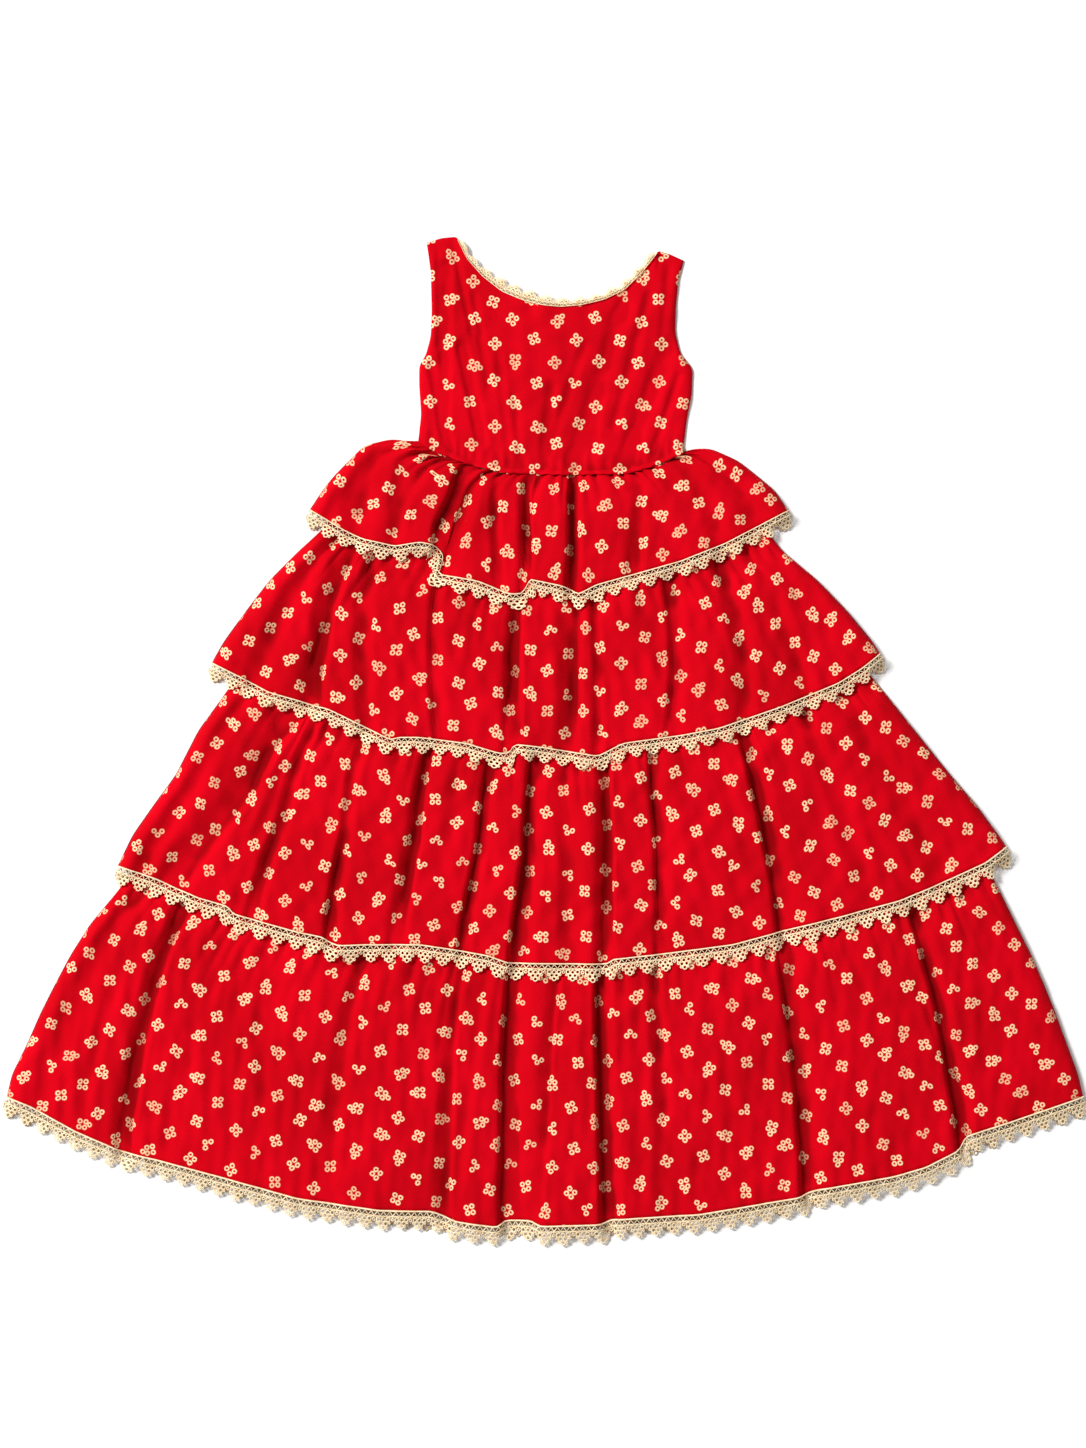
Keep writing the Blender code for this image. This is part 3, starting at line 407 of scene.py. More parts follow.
def crumple(place, seed):
    random = np.random.RandomState(seed + 7)
    total = np.zeros(place.shape[:-1])
    for _ in range(flounceValues["crumpleWaves"]):
        turn = random.rand() * math.tau
        length = flounceValues["crumpleShort"] + flounceValues["crumpleSpan"] * random.rand()
        phase = random.rand() * math.tau
        run = place[..., 0] * math.cos(turn) * 1.3 + place[..., 1] * math.sin(turn) * 0.7
        total += np.sin(math.tau * run / length + phase + 0.8 * np.sin(place[..., 0] / 31.0 + phase * 3))
    return total / 2.6


def minorHeight(tier, panel, cross, fall):
    random = np.random.RandomState(tier["seed"] + 1)
    total = np.zeros_like(cross)
    width = panel.width(fall)
    for _ in range(tier["minorFolds"]):
        start = random.rand()
        lean = (random.rand() - 0.5) * 0.07
        halfWidth = flounceValues["minorNarrow"] + flounceValues["minorSpan"] * random.rand()
        deep = flounceValues["minorShallow"] + flounceValues["minorDeeper"] * random.rand()
        first, last = sorted(random.rand(2) * 1.3 - 0.15)
        fade = smoothStep((fall - first + 0.15) / 0.3) * smoothStep((last + 0.15 - fall) / 0.3)
        distance = (cross - start - lean * (fall - 0.5)) * width
        total += deep * fade * (trough(distance, halfWidth) - 0.35 * trough(distance - halfWidth, halfWidth))
    return total


def flounceSurface(tier, panel, cross, fall):
    pairs = [(fractionAt(panel.seam, f[0]), fractionAt(panel.hem, f[1]), f) for f in tier["folds"]]
    loft = tier["loft"]
    raised = flounceValues["raisedBy"]
    lift = np.where(fall < raised, mix(loft[0], loft[1], smoothStep(fall / raised)),
                    mix(loft[1], loft[2], (fall - raised) / (1 - raised)))
    lift = lift + flounceValues["hemRaise"] * smoothStep(fall * 1.6) * (tier is not tierFour)
    height = lift + 0.8 * np.sin(cross * 23.0 + 2.1 * fall) + 0.5 * np.sin(cross * 57.0 + 1.3)
    shift = np.zeros_like(cross)
    width = panel.width(fall)
    place = panel.at(cross, fall)
    for atSeam, atHem, fold in pairs:
        centre = panel.at(mix(atSeam, atHem, fall), fall)
        slant = math.hypot(fold[1] - fold[0], 150.0) / 150.0
        distance = (place[..., 0] - centre[..., 0]) / slant
        amount = foldShape(distance, mix(fold[2], fold[3], fall), fold[7])
        height = height - flounceValues["foldDeeper"] * mix(fold[4], fold[5], fall) * amount
        shift = shift + fold[6] * fall * amount
    for dip in tier["dips"]:
        away = np.hypot((place[..., 0] - dip[0]) / dip[2], (place[..., 1] - dip[1]) / dip[3])
        height = height - dip[4] * (1 - smoothStep((away - 0.25) / 0.95))
    height = height + gatherHeight(tier, panel, cross, fall) - minorHeight(tier, panel, cross, fall)
    height = height + flounceValues["ripple"] * np.sin(cross * width / 6.3 + fall * 9) * np.sin(fall * 31 + cross * 40)
    if tier is tierOne:
        deep = fall * (lengthOf(panel.left) + lengthOf(panel.right)) / 2
        height = mix(flounceValues["seamHeight"], height, smoothStep(deep / flounceValues["seamRun"]))
        place[..., 1] += seamWobble(cross) * (1 - smoothStep(deep / flounceValues["wobbleRun"]))
    height = height + flounceValues["crumple"] * crumple(place, tier["seed"])
    low = flounceValues["edgeHeight"]
    edge = sideFactor(panel, cross, fall)
    place[..., 0] += shift * edge
    return place, low + (np.maximum(height, flounceValues["lowest"]) - low) * edge


def columnCrosses(tier, panel, atHem, fall):
    pairs = sorted((fractionAt(panel.hem, f[1]), fractionAt(panel.seam, f[0])) for f in tier["folds"])
    hems = [0.0] + [p[0] for p in pairs] + [1.0]
    seams = [0.0] + [p[1] for p in pairs] + [1.0]
    return mix(np.interp(atHem, hems, seams), atHem, fall)


def backHem(panel, inset=5.0):
    points = softened(panel.hem, 60)
    fraction = np.linspace(0, 1, len(points))
    pull = inset * smoothStep(np.minimum(fraction, 1 - fraction) * 12)
    return points - outward(panel.hem, fraction) * pull[:, None]


backValues = {"columns": 120, "rows": 26, "stepClear": 2.0, "stepRun": 6.0, "lifted": 1.5, "floorGap": 0.6,
              "laceTuck": 4.6, "laceClear": 1.0, "laceLonger": 0.5}


def backGrid(tier, above):
    front = flouncePanel(tier)
    panel = Panel(front.seam, front.left, front.right, backHem(front))
    atHem = np.linspace(0, 1, backValues["columns"] + 1)[:, None]
    fall = np.linspace(0, 1, backValues["rows"] + 1)[None, :]
    cross = columnCrosses(tier, panel, atHem, fall)
    fall = np.broadcast_to(fall, cross.shape)
    place = panel.at(cross, fall)
    height = np.full(cross.shape, backValues["floorGap"])
    if above is not None:
        order = np.argsort(above[:, 0])
        edge = np.interp(place[..., 0], above[order, 0], above[order, 1])
        past = place[..., 1] - edge
        height += backValues["lifted"] * (1 - smoothStep((past - backValues["stepClear"]) / backValues["stepRun"]))
    fraction = np.linspace(0, 1, 301)
    reach = tier["laceWidth"] - backValues["laceTuck"] - backValues["laceClear"]
    laceEdge = panel.hem[::2] + outward(panel.hem, fraction) * reach
    return panel, np.concatenate([place, height[..., None]], axis=-1), laceEdge


def mathNode(tree, operation, first, second):
    node = tree.nodes.new("ShaderNodeMath")
    node.operation = operation
    for place, source in enumerate((first, second)):
        if isinstance(source, float):
            node.inputs[place].default_value = source
        else:
            tree.links.new(source, node.inputs[place])
    return node.outputs["Value"]


def rangeNode(tree, value, fromLow, fromHigh, toLow, toHigh):
    node = tree.nodes.new("ShaderNodeMapRange")
    node.interpolation_type = "SMOOTHSTEP"
    tree.links.new(value, node.inputs["Value"])
    for name, number in (("From Min", fromLow), ("From Max", fromHigh), ("To Min", toLow), ("To Max", toHigh)):
        node.inputs[name].default_value = number
    return node.outputs["Result"]


def noiseNode(tree, vector, scale, detail=2.0, roughness=0.5):
    node = tree.nodes.new("ShaderNodeTexNoise")
    tree.links.new(vector, node.inputs["Vector"])
    node.inputs["Scale"].default_value = scale
    node.inputs["Detail"].default_value = detail
    node.inputs["Roughness"].default_value = roughness
    return node


def makeGroup(name, inputs, outputs):
    group = bpy.data.node_groups.new(name, "ShaderNodeTree")
    for label, kind in inputs:
        group.interface.new_socket(name=label, in_out="INPUT", socket_type=kind)
    for label, kind in outputs:
        group.interface.new_socket(name=label, in_out="OUTPUT", socket_type=kind)
    return group, group.nodes.new("NodeGroupInput"), group.nodes.new("NodeGroupOutput")


# The ring centres of one flower, in millimetres from its middle.
flowerRings = {
    "centres": [(3.6, 1.6), (-1.4, 4.0), (-3.9, -1.3), (1.6, -3.8), (6.6, -3.4)],
    "outer": (2.45, 2.85), "inner": (0.95, 1.3),
}


def flowerGroup():
    group, given, made = makeGroup("flowerPrint", [("Spot", "NodeSocketVector"), ("Kind", "NodeSocketFloat"),
                                                   ("Grain", "NodeSocketVector")], [("Mask", "NodeSocketFloat")])
    rough = noiseNode(group, given.outputs["Grain"], 900.0, 2.0)
    push = group.nodes.new("ShaderNodeVectorMath")
    push.operation = "MULTIPLY_ADD"
    group.links.new(rough.outputs["Color"], push.inputs[0])
    push.inputs[1].default_value = (1.3, 1.3, 0.0)
    group.links.new(given.outputs["Spot"], push.inputs[2])
    nearest = None
    for place, centre in enumerate(flowerRings["centres"]):
        far = group.nodes.new("ShaderNodeVectorMath")
        far.operation = "DISTANCE"
        group.links.new(push.outputs["Vector"], far.inputs[0])
        far.inputs[1].default_value = (centre[0] + 0.65, centre[1] + 0.65, 0.0)
        distance = far.outputs["Value"]
        if place >= 3:
            bar = 0.2 if place == 3 else 0.72
            absent = mathNode(group, "LESS_THAN", given.outputs["Kind"], bar)
            absent = mathNode(group, "MULTIPLY", absent, 20.0)
            distance = mathNode(group, "ADD", distance, absent)
        nearest = distance if nearest is None else mathNode(group, "MINIMUM", nearest, distance)
    disc = rangeNode(group, nearest, flowerRings["outer"][0], flowerRings["outer"][1], 1.0, 0.0)
    hole = rangeNode(group, nearest, flowerRings["inner"][0], flowerRings["inner"][1], 0.0, 1.0)
    mask = mathNode(group, "MULTIPLY", disc, hole)
    patchy = noiseNode(group, given.outputs["Grain"], 1500.0, 3.0, 0.6)
    wearAndPaintedShade = rangeNode(group, patchy.outputs["Fac"], 0.3, 0.52, 0.55, 1.0)
    mask = mathNode(group, "MULTIPLY", mask, wearAndPaintedShade)
    group.links.new(mask, made.inputs["Mask"])
    return group


# The last tint is painted shade, multiplied into the folds and under the hems above.
clothLook = {
    "red": (0.60, 0.0, 0.007, 1.0), "deepRed": (0.50, 0.0, 0.005, 1.0), "paintedShade": (0.44, 0.32, 0.32, 1.0),
    "cream": (0.95, 0.68, 0.40, 1.0), "roughness": 0.9, "sheen": 0.0, "weave": 0.00032,
}


def clothMaterial():
    material = bpy.data.materials.new("redCotton")
    material.use_nodes = True
    tree = material.node_tree
    shader = tree.nodes["Principled BSDF"]
    maps = {}
    for layer in ("print", "printKind", "weave"):
        node = tree.nodes.new("ShaderNodeUVMap")
        node.uv_map = layer
        maps[layer] = node.outputs["UV"]
    kind = tree.nodes.new("ShaderNodeSeparateXYZ")
    tree.links.new(maps["printKind"], kind.inputs["Vector"])
    flower = tree.nodes.new("ShaderNodeGroup")
    flower.node_tree = flowerGroup()
    tree.links.new(maps["print"], flower.inputs["Spot"])
    tree.links.new(kind.outputs["X"], flower.inputs["Kind"])
    tree.links.new(maps["weave"], flower.inputs["Grain"])
    broad = noiseNode(tree, maps["weave"], 9.0, 3.0)
    tint = tree.nodes.new("ShaderNodeMix")
    tint.data_type = "RGBA"
    tree.links.new(rangeNode(tree, broad.outputs["Fac"], 0.35, 0.65, 0.0, 1.0), tint.inputs["Factor"])
    tint.inputs[6].default_value = clothLook["red"]
    tint.inputs[7].default_value = clothLook["deepRed"]
    strength = rangeNode(tree, kind.outputs["Y"], 0.0, 0.5, 0.72, 1.0)
    amount = mathNode(tree, "MULTIPLY", flower.outputs["Mask"], strength)
    dyed = tree.nodes.new("ShaderNodeMix")
    dyed.data_type = "RGBA"
    tree.links.new(amount, dyed.inputs["Factor"])
    tree.links.new(tint.outputs[2], dyed.inputs[6])
    dyed.inputs[7].default_value = clothLook["cream"]
    # Painted shade: the colour is multiplied towards the darker tint by the fold-depth attribute, in folds and under
    # the hems above.
    paintedShade = tree.nodes.new("ShaderNodeAttribute")
    paintedShade.attribute_name = "paintedShade"
    wearAndPaintedShade = tree.nodes.new("ShaderNodeMix")
    wearAndPaintedShade.data_type = "RGBA"
    wearAndPaintedShade.blend_type = "MULTIPLY"
    tree.links.new(rangeNode(tree, paintedShade.outputs["Fac"], 0.05, 0.9, 0.0, 1.0), wearAndPaintedShade.inputs["Factor"])
    tree.links.new(dyed.outputs[2], wearAndPaintedShade.inputs[6])
    wearAndPaintedShade.inputs[7].default_value = clothLook["paintedShade"]
    tree.links.new(wearAndPaintedShade.outputs[2], shader.inputs["Base Color"])
    shader.inputs["Roughness"].default_value = clothLook["roughness"]
    shader.inputs["Sheen Weight"].default_value = clothLook["sheen"]
    shader.inputs["Sheen Roughness"].default_value = 0.5
    shader.inputs["Specular IOR Level"].default_value = 0.05
    scale = tree.nodes.new("ShaderNodeVectorMath")
    scale.operation = "SCALE"
    tree.links.new(maps["weave"], scale.inputs[0])
    scale.inputs["Scale"].default_value = 1.0 / clothLook["weave"]
    threads = tree.nodes.new("ShaderNodeTexChecker")
    tree.links.new(scale.outputs["Vector"], threads.inputs["Vector"])
    threads.inputs["Scale"].default_value = 1.0
    slub = noiseNode(tree, maps["weave"], 160.0, 4.0, 0.65)
    height = mathNode(tree, "MULTIPLY", threads.outputs["Fac"], 0.25)
    height = mathNode(tree, "ADD", height, slub.outputs["Fac"])
    bump = tree.nodes.new("ShaderNodeBump")
    bump.inputs["Strength"].default_value = 0.35
    bump.inputs["Distance"].default_value = 0.0009
    tree.links.new(height, bump.inputs["Height"])
    tree.links.new(bump.outputs["Normal"], shader.inputs["Normal"])
    return material


laceLook = {
    "light": (1.0, 0.84, 0.56, 1.0), "dark": (0.92, 0.62, 0.32, 1.0),
    # The under colours are the same cream lace darkened as painted shade, for the back edging lying in the front
    # edging's shadow.
    "paintedShadeLaceLight": (0.68, 0.52, 0.33, 1.0), "paintedShadeLaceDark": (0.50, 0.35, 0.21, 1.0), "roughness": 0.85,
}


def laceMaterial(name, light, dark):
    material = bpy.data.materials.new(name)
    material.use_nodes = True
    tree = material.node_tree
    shader = tree.nodes["Principled BSDF"]
    place = tree.nodes.new("ShaderNodeTexCoord")
    broad = noiseNode(tree, place.outputs["Object"], 260.0, 3.0, 0.7)
    tint = tree.nodes.new("ShaderNodeMix")
    tint.data_type = "RGBA"
    tree.links.new(rangeNode(tree, broad.outputs["Fac"], 0.42, 0.68, 0.0, 1.0), tint.inputs["Factor"])
    tint.inputs[6].default_value = light
    tint.inputs[7].default_value = dark
    tree.links.new(tint.outputs[2], shader.inputs["Base Color"])
    shader.inputs["Roughness"].default_value = laceLook["roughness"]
    shader.inputs["Sheen Weight"].default_value = 0.2
    twist = noiseNode(tree, place.outputs["Object"], 1800.0, 2.0)
    bump = tree.nodes.new("ShaderNodeBump")
    bump.inputs["Strength"].default_value = 0.5
    bump.inputs["Distance"].default_value = 0.0004
    tree.links.new(twist.outputs["Fac"], bump.inputs["Height"])
    tree.links.new(bump.outputs["Normal"], shader.inputs["Normal"])
    return material


redCotton = clothMaterial()
creamLace = laceMaterial("creamLace", laceLook["light"], laceLook["dark"])
# A darker copy of the cream lace: painted shade for the back edging.
paintedShadeLace = laceMaterial("paintedShadeLace", laceLook["paintedShadeLaceLight"], laceLook["paintedShadeLaceDark"])
print("stage: materials made")

# One repeat of the crochet edging, 18.5 wide and 17.5 deep, as threads of its own.
edgingValues = {"repeat": 18.5, "deep": 17.5, "cordAt": 4.5, "sides": 5, "backSides": 3}


def arcPoints(centre, radius, start, stop, count):
    angle = np.radians(np.linspace(start, stop, count))
    across, down = centre[0] + radius * np.cos(angle), centre[1] + radius * np.sin(angle)
    return np.stack([across, down, np.zeros(count)], axis=1)


def straight(first, last, count=2, height=0.0):
    part = np.linspace(0, 1, count)[:, None]
    points = np.array(first, float) * (1 - part) + np.array(last, float) * part
    return np.concatenate([points, np.full((count, 1), height)], axis=1)


def edgingThreads():
    repeat = edgingValues["repeat"]
    step, middle, cord = repeat / 6, repeat / 2, edgingValues["cordAt"]
    zigzag = np.array([(step * k, cord - 0.1 if k % 2 == 0 else 0.0, 0.0) for k in range(7)])
    wavy = np.array([(step * k, cord + (0.4 if k % 2 == 0 else -0.3), 0.0) for k in range(7)])
    threads = [(straight((0, -0.5), (repeat, -0.5), 5, 0.5), 0.75), (zigzag, 0.66), (wavy, 0.62)]
    # Three rings, two and one make each fan, with picots at its sides.
    rings = ((-4.7, 7.4), (0.0, 7.8), (4.7, 7.4), (-2.4, 11.1), (2.4, 11.1), (0.0, 14.5))
    for place, (across, down) in enumerate(rings):
        threads.append((arcPoints((middle + across, down), 1.95, 15 * place, 360 + 15 * place, 10), 0.7))
        if down < 8:
            threads.append((straight((middle + across, cord), (middle + across, down - 1.9)), 0.62))
    for side in (-1, 1):
        threads.append((straight((middle + side * 7.4, cord), (middle + side * 6.0, 6.4)), 0.6))
        threads.append((arcPoints((middle + side * 6.0, 10.3), 0.95, 0, 360, 7), 0.58))
        threads.append((arcPoints((middle + side * 3.4, 14.0), 0.95, 0, 360, 7), 0.58))
    threads.append((straight((0, cord), (0, 6.4)), 0.62))
    threads.append((arcPoints((0, 7.6), 1.25, 0, 360, 8), 0.58))
    return threads


def tubesOf(threads, sides):
    points, faces, start = [], [], 0
    for line, radius in threads:
        run = np.gradient(line[:, :2], axis=0)
        run /= np.maximum(np.linalg.norm(run, axis=1, keepdims=True), 1e-9)
        side = np.stack([-run[:, 1], run[:, 0], np.zeros(len(run))], axis=1)
        rings = []
        for turn in range(sides):
            angle = math.tau * (turn + 0.5) / sides
            up = np.array([0.0, 0.0, math.sin(angle) * radius])
            rings.append(line + side * math.cos(angle) * radius + up)
        ring = np.stack(rings, axis=1)
        count = len(line)
        index = start + np.arange(count * sides).reshape(count, sides)
        following = np.roll(index, -1, axis=1)
        faces.append(np.stack([index[:-1], following[:-1], following[1:], index[1:]], axis=-1).reshape(-1, 4))
        points.append(ring.reshape(-1, 3))
        start += count * sides
    return np.concatenate(points), np.concatenate(faces)


def laceStrip(name, node, sheet, lengthAlong, deep, sides, seed, material):
    # sheet is a grid of places along the hem and outwards from it, and how far out each of its rows is.
    grid, outs = sheet
    repeats = max(1, round(lengthAlong / edgingValues["repeat"]))
    unit, unitFaces = tubesOf(edgingThreads(), sides)
    random = np.random.RandomState(seed)
    allPoints, allFaces = [], []
    for repeat in range(repeats):
        points = unit.copy()
        wobble = 1 + 0.05 * (random.rand() - 0.5) * 2
        sway = 0.5 * (random.rand() - 0.5)
        outer = smoothStep((points[:, 1] - 5) / 8)
        points[:, 0] += sway * outer
        points[:, 1] *= mix(1.0, wobble, outer)
        points[:, 0] = (points[:, 0] + repeat * edgingValues["repeat"]) / (repeats * edgingValues["repeat"])
        allPoints.append(points)
        allFaces.append(unitFaces + repeat * len(unit))
    points, faces = np.concatenate(allPoints), np.concatenate(allFaces)
    fraction = np.clip(points[:, 0], 0, 1)
    out = points[:, 1] * np.interp(fraction, np.linspace(0, 1, len(deep)), deep) / edgingValues["deep"]
    column = fraction * (grid.shape[0] - 1)
    row = np.interp(out, outs, np.arange(len(outs)))
    lowColumn = np.minimum(column.astype(int), grid.shape[0] - 2)
    lowRow = np.minimum(row.astype(int), grid.shape[1] - 2)
    partColumn, partRow = (column - lowColumn)[:, None], (row - lowRow)[:, None]
    first = mix(grid[lowColumn, lowRow], grid[lowColumn + 1, lowRow], partColumn)
    second = mix(grid[lowColumn, lowRow + 1], grid[lowColumn + 1, lowRow + 1], partColumn)
    place = mix(first, second, partRow)
    place[:, 2] += points[:, 2]
    item = meshObject(name, toFrame(place), faces, material)
    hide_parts(node)
    return item


laceSheet = {"drape": (0.9, 0.9, 0.9, 0.8), "outs": (-3.0, -1.0, 1.0, 4.0, 7.0, 10.5, 14.0, 17.5, 22.0),
             "rise": 1.3, "sag": 0.08, "step": 2.4, "clear": 1.2, "above": 0.6}


def hemSheet(tier, panel):
    count = int(panel.hemLength / laceSheet["step"])
    atHem = np.linspace(0, 1, count + 1)
    outs = np.array(laceSheet["outs"])
    fallStep = 1.0 / ((lengthOf(panel.left) + lengthOf(panel.right)) / 2)
    grid = np.zeros((count + 1, len(outs), 3))
    hemPlace, hemHeight = flounceSurface(tier, panel, atHem, np.ones_like(atHem))
    hemHeight = np.maximum(hemHeight, supportAt(hemPlace[:, 0], hemPlace[:, 1], 1))
    direction = outward(panel.hem, atHem)
    for row, out in enumerate(outs):
        if out <= 0:
            fall = np.full_like(atHem, 1 + out * fallStep)
            place, height = flounceSurface(tier, panel, atHem, fall)
            height = np.maximum(height, supportAt(place[:, 0], place[:, 1], 0))
            height = height + laceSheet["rise"]
        else:
            place = hemPlace + direction * out
            height = hemHeight + laceSheet["rise"] - laceSheet["sag"] * out
        support = supportAt(place[:, 0], place[:, 1], 1) + laceSheet["clear"]
        if out > 0:
            drop = laceSheet["drape"][tiers.index(tier)] * smoothStep(out / tier["laceWidth"])
            height = mix(height, np.minimum(height, support + laceSheet["above"]), drop)
        grid[:, row, :2] = place
        grid[:, row, 2] = np.maximum(height, support)
    return grid, outs


backEdge = None
for tier in tiers:
    panel, grid, backEdge = backGrid(tier, backEdge)
    item = clothObject(tier["name"] + "BackCloth", grid, redCotton, tier["seed"] + 100, 0.55)
    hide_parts(tier["name"] + "_back")
    layDown(grid, 5)
    fraction = np.linspace(0, 1, 261)
    hem, direction = along(panel.hem, fraction), outward(panel.hem, fraction)
    outs = np.array([-1.5, 0.5, 22.0])
    flat = np.stack([np.concatenate([hem + direction * (out + 1.2), np.full((261, 1), 0.62)], axis=1)
                     for out in outs], axis=1)
    # The back edging is drawn in the darker lace copy, as painted shade.
    laceStrip(tier["name"] + "BackLace", tier["name"] + "_lace_back", (flat, outs), panel.hemLength,
              [tier["laceWidth"] + backValues["laceLonger"]], edgingValues["backSides"], tier["seed"] + 200, paintedShadeLace)
    layDown(flat[:, :2] + np.array([0, 0, 0.6]), 5)
    tier["backGrid"] = grid
    tier["backItem"] = item
print("stage: back panels laid")

for tier in reversed(tiers):
    panel = flouncePanel(tier)
    columns = int(panel.hemLength / flounceValues["columnStep"])
    rows = int((lengthOf(panel.left) + lengthOf(panel.right)) / 2 / flounceValues["rowStep"])
    atHem = np.linspace(0, 1, columns + 1)[:, None]
    fall = np.linspace(0, 1, rows + 1)[None, :]
    cross = columnCrosses(tier, panel, atHem, fall)
    fall = np.broadcast_to(fall, cross.shape)
    place, height = flounceSurface(tier, panel, cross, fall)
    support = supportAt(place[..., 0], place[..., 1], 2) + 1.0
    height = np.maximum(height, support)
    grid = np.concatenate([place, height[..., None]], axis=-1)
    item = clothObject(tier["name"] + "FrontCloth", grid, redCotton, tier["seed"])
    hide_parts(tier["name"] + "_front")
    layDown(grid)
    tier["frontItem"] = item
    tier["frontGrid"] = grid
    laceStrip(tier["name"] + "FrontLace", tier["name"] + "_lace_front", hemSheet(tier, panel), panel.hemLength,
              [tier["laceWidth"]], edgingValues["sides"], tier["seed"] + 300, creamLace)
    print("stage: flounce", tier["name"], grid.shape)

bodiceValues = {
    "creaseDeeper": 3.0, "gathers": 0.8, "lowest": 2.6, "edgeReach": 9.0, "overlap": 1.8,
    "loft": 4.6, "swell": 1.4, "columns": 130, "rows": 76, "neckLeft": -88, "neckRight": 115,
    "neckWidths": (4.5, 6.0, 9.5, 12.0, 12.0, 10.5, 8.5, 8.0, 8.5, 7.5, 6.5),
    "top": [(-117.5, 6), (-103, 1.5), (-88, 0), (-77, 22), (-62, 39), (-42, 54.5), (-22, 63), (-1, 68.5), (17, 70),
            (36, 68.5), (60, 63), (80.5, 53), (97, 37), (109, 22), (115, 14), (127, 18), (140, 24)],
    "left": [(-117.5, 6), (-113.4, 35), (-112.4, 76), (-113.4, 100), (-118.5, 119), (-125, 129), (-125, 149),
             (-123, 178), (-126, 204.5)],
    "right": [(140, 24), (134.6, 45), (132, 72), (131.5, 96), (136.6, 117), (149, 132), (148, 158), (143, 184),
              (139, 216)],
    # from, to, half width, depth
    "creases": [((-98, 30), (-100, 190), 9, 1.6), ((-82, 110), (-62, 205), 9, 1.8), ((-112, 130), (-95, 212), 8, 1.4),
                ((80, 70), (30, 225), 14, 1.3), ((125, 110), (82, 225), 14, 1.4), ((8, 150), (-2, 235), 9, 0.9)],
    "softCreases": [((-70, 60), (-55, 150), 7, 0.7), ((-45, 120), (-35, 225), 7, 0.6), ((40, 110), (5, 215), 8, 0.8),
                    ((105, 60), (70, 190), 8, 0.8), ((135, 140), (110, 215), 6, 0.8), ((-30, 160), (-22, 232), 6, 0.5),
                    ((60, 150), (45, 235), 6, 0.6), ((-106, 15), (-106, 110), 4, 0.6), ((-90, 10), (-72, 95), 6, 0.7),
                    ((125, 30), (118, 100), 7, 0.6)],
}


def creaseDepth(across, down, creases):
    total = np.zeros_like(across)
    for first, last, width, deep in creases:
        run = np.array(last, float) - first
        part = ((across - first[0]) * run[0] + (down - first[1]) * run[1]) / (run @ run)
        part = np.clip(part, 0, 1)
        distance = np.hypot(across - first[0] - run[0] * part, down - first[1] - run[1] * part)
        total += deep * trough(distance, width)
    return total


def bodiceGrid(values, isBack):
    top = lineOf(values["top"], 4)
    panel = Panel(top, lineOf(values["left"], 10), lineOf(values["right"], 10), lineOf(waistLine))
    neckFrom, neckTo = fractionAt(top, values["neckLeft"]), fractionAt(top, values["neckRight"])
    cross = np.linspace(0, 1, values["columns"] + 1)[:, None]
    fall = np.linspace(0, 1, values["rows"] + 1)[None, :]
    cross, fall = np.broadcast_arrays(cross, fall)
    place = panel.at(cross, fall).copy()
    if isBack:
        place += outward(top, cross, 0.012) * (1.5 * (1 - smoothStep(fall * 8)))[..., None]
        height = np.full(cross.shape, 0.62)
    else:
        onStrap = (cross < neckFrom) | (cross > neckTo)
        shoulder = np.where(onStrap, smoothStep(fall / 0.12), 1.0)
        full = values["loft"] + values["swell"] * np.sin(np.pi * np.minimum(fall * 1.15, 1.0))
        creases = values["creases"] + values["softCreases"]
        full = full - values["creaseDeeper"] * creaseDepth(place[..., 0], place[..., 1], creases)
        gathers = np.cos(math.tau * tierOne["gatherCount"] * (cross + 0.006 * np.sin(cross * 31 + 1.0)))
        full = full + values["gathers"] * gathers * smoothStep((fall - 0.86) / 0.14)
        full = full + 0.5 * crumple(place, 61)
        atWaist = smoothStep((fall - 0.93) / 0.07)
        place[..., 1] += (values["overlap"] + seamWobble(cross)) * atWaist
        full = mix(full, flounceValues["seamHeight"], smoothStep((fall - 0.96) / 0.04))
        low = flounceValues["edgeHeight"]
        edge = sideFactor(panel, cross, fall, values["edgeReach"]) * mix(0.25, 1.0, shoulder)
        height = low + (np.maximum(full, values["lowest"]) - low) * edge
        height = np.maximum(height, supportAt(place[..., 0], place[..., 1], 0) + mix(0.9, 0.4, atWaist))
    return panel, neckFrom, neckTo, np.concatenate([place, height[..., None]], axis=-1)


panel, neckFrom, neckTo, grid = bodiceGrid(bodiceValues, True)
bodiceBack = clothObject("bodiceBackCloth", grid, redCotton, 71, 0.55, True)
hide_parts("bodice_back")
layDown(grid)
panel, neckFrom, neckTo, grid = bodiceGrid(bodiceValues, False)
bodiceFront = clothObject("bodiceFrontCloth", grid, redCotton, 70, 0.6, True)
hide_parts("bodice_front")
layDown(grid)
frontBodiceGrid = grid


def neckSheet(panel, isBack):
    cross = np.linspace(neckFrom + 0.01, neckTo - 0.01, 121)
    start, direction = along(panel.seam, cross), -outward(panel.seam, cross, 0.012)
    outs = np.array([-3.0, -1.0, 1.0, 4.0, 8.0, 13.0])
    grid = np.zeros((len(cross), len(outs), 3))
    rim = supportAt(start[:, 0], start[:, 1], 2) + 0.9
    for row, out in enumerate(outs):
        place = start + direction * (out - (0.9 if isBack else 0.0))
        grid[:, row, :2] = place
        support = supportAt(place[:, 0], place[:, 1], 1) + 0.9
        grid[:, row, 2] = 0.6 if isBack else np.maximum(support, rim - 0.12 * max(out, 0.0))
    return grid, outs


neckLength = lengthOf(along(panel.seam, np.linspace(neckFrom, neckTo, 200)))
frontWidths = bodiceValues["neckWidths"]
backWidths = [width - 1.5 for width in frontWidths]
laceStrip("neckBackLace", "neck_lace_back", neckSheet(panel, True), neckLength, backWidths, 3, 81, creamLace)
laceStrip("neckFrontLace", "neck_lace_front", neckSheet(panel, False), neckLength, frontWidths, 5, 82, creamLace)
print("stage: bodice and neck edging")
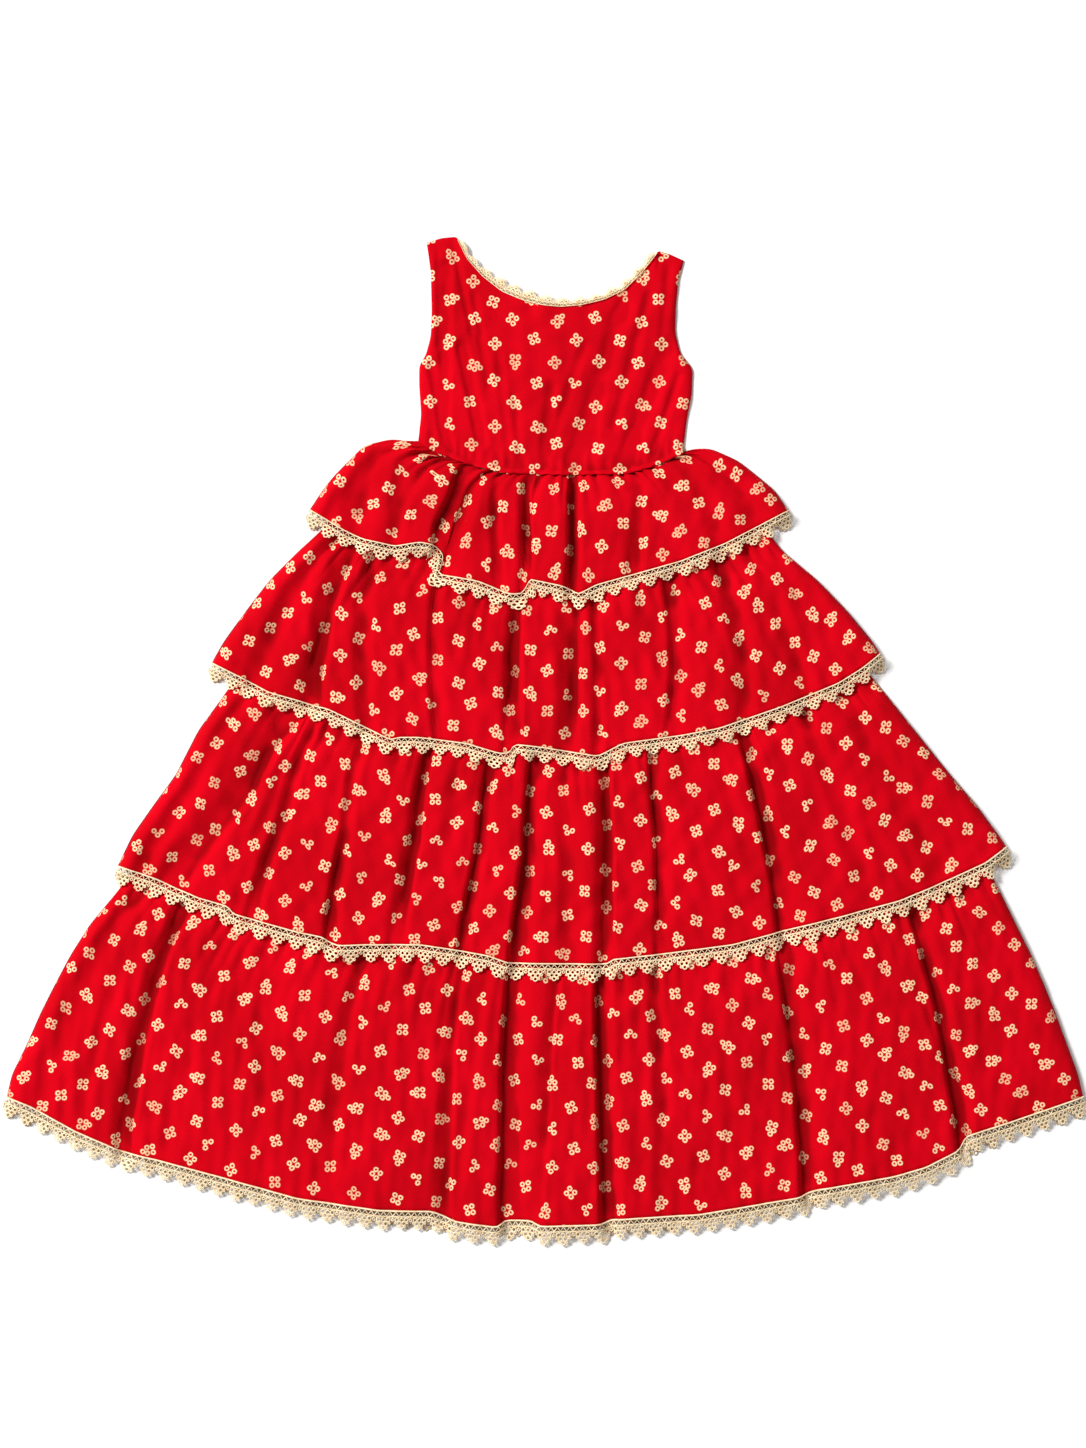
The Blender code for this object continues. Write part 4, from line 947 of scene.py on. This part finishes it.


# How far each point of the front cloth lies below what is round it: 0 on the ridges, 1 in the folds and beside higher
# layers. The cloth's colour is darkened by it as painted shade.
paintedShadeValues = {"blur": 5, "free": 0.8, "deepest": 5.0}
roundHeight = groundMap.copy()
for _ in range(3):
    for axis in (0, 1):
        total = np.zeros_like(roundHeight)
        for step in range(-paintedShadeValues["blur"], paintedShadeValues["blur"] + 1):
            total += np.roll(roundHeight, step, axis)
        roundHeight = total / (2 * paintedShadeValues["blur"] + 1)
groundMap = roundHeight
for item, grid in [(tier["frontItem"], tier["frontGrid"]) for tier in tiers] + [(bodiceFront, frontBodiceGrid)]:
    deep = supportAt(grid[..., 0], grid[..., 1], 0) - grid[..., 2] - paintedShadeValues["free"]
    deep = np.clip(deep / paintedShadeValues["deepest"], 0.0, 1.0)
    item.data.attributes["paintedShade"].data.foreach_set("value", deep.astype(np.float32).ravel())


studio = {
    "floorSide": 9.0, "floorColour": (0.93, 0.925, 0.92, 1.0),
    "key": {"place": (-4.3, 2.5, 4.9), "size": 2.0, "power": 660.0},
    "fill": {"place": (2.6, -2.2, 5.0), "size": 3.6, "power": 40.0},
    "world": 0.28, "lens": 100.0, "seen": 1.448, "aim": (-0.00147, 0.01756),
}


def addFloor():
    bpy.ops.mesh.primitive_plane_add(size=studio["floorSide"], location=(0, 0, -0.0003))
    floor = bpy.context.object
    floor.name = "floor"
    paint = bpy.data.materials.new("paleFloor")
    paint.use_nodes = True
    paint.node_tree.nodes["Principled BSDF"].inputs["Base Color"].default_value = studio["floorColour"]
    paint.node_tree.nodes["Principled BSDF"].inputs["Roughness"].default_value = 0.9
    floor.data.materials.append(paint)


def addLight(name, values):
    bpy.ops.object.light_add(type="AREA", location=values["place"])
    light = bpy.context.object
    light.name = name
    light.data.size = values["size"]
    light.data.energy = values["power"]
    aim = Vector((0, 0, 0)) - Vector(values["place"])
    light.rotation_euler = aim.to_track_quat("-Z", "Y").to_euler()


def addCamera():
    away = studio["seen"] / 2 / (18.0 / studio["lens"])
    bpy.ops.object.camera_add(location=(studio["aim"][0], studio["aim"][1], away + 0.008), rotation=(0, 0, 0))
    camera = bpy.context.object
    camera.data.lens = studio["lens"]
    camera.data.sensor_width = 36.0
    bpy.context.scene.camera = camera


addFloor()
addLight("keyLight", studio["key"])
addLight("fillLight", studio["fill"])
addCamera()
world = bpy.context.scene.world or bpy.data.worlds.new("studioWorld")
bpy.context.scene.world = world
world.use_nodes = True
background = world.node_tree.nodes["Background"]
background.inputs["Color"].default_value = (1.0, 1.0, 1.0, 1.0)
background.inputs["Strength"].default_value = studio["world"]
bpy.context.scene.view_settings.view_transform = "Standard"
print("stage: studio set")
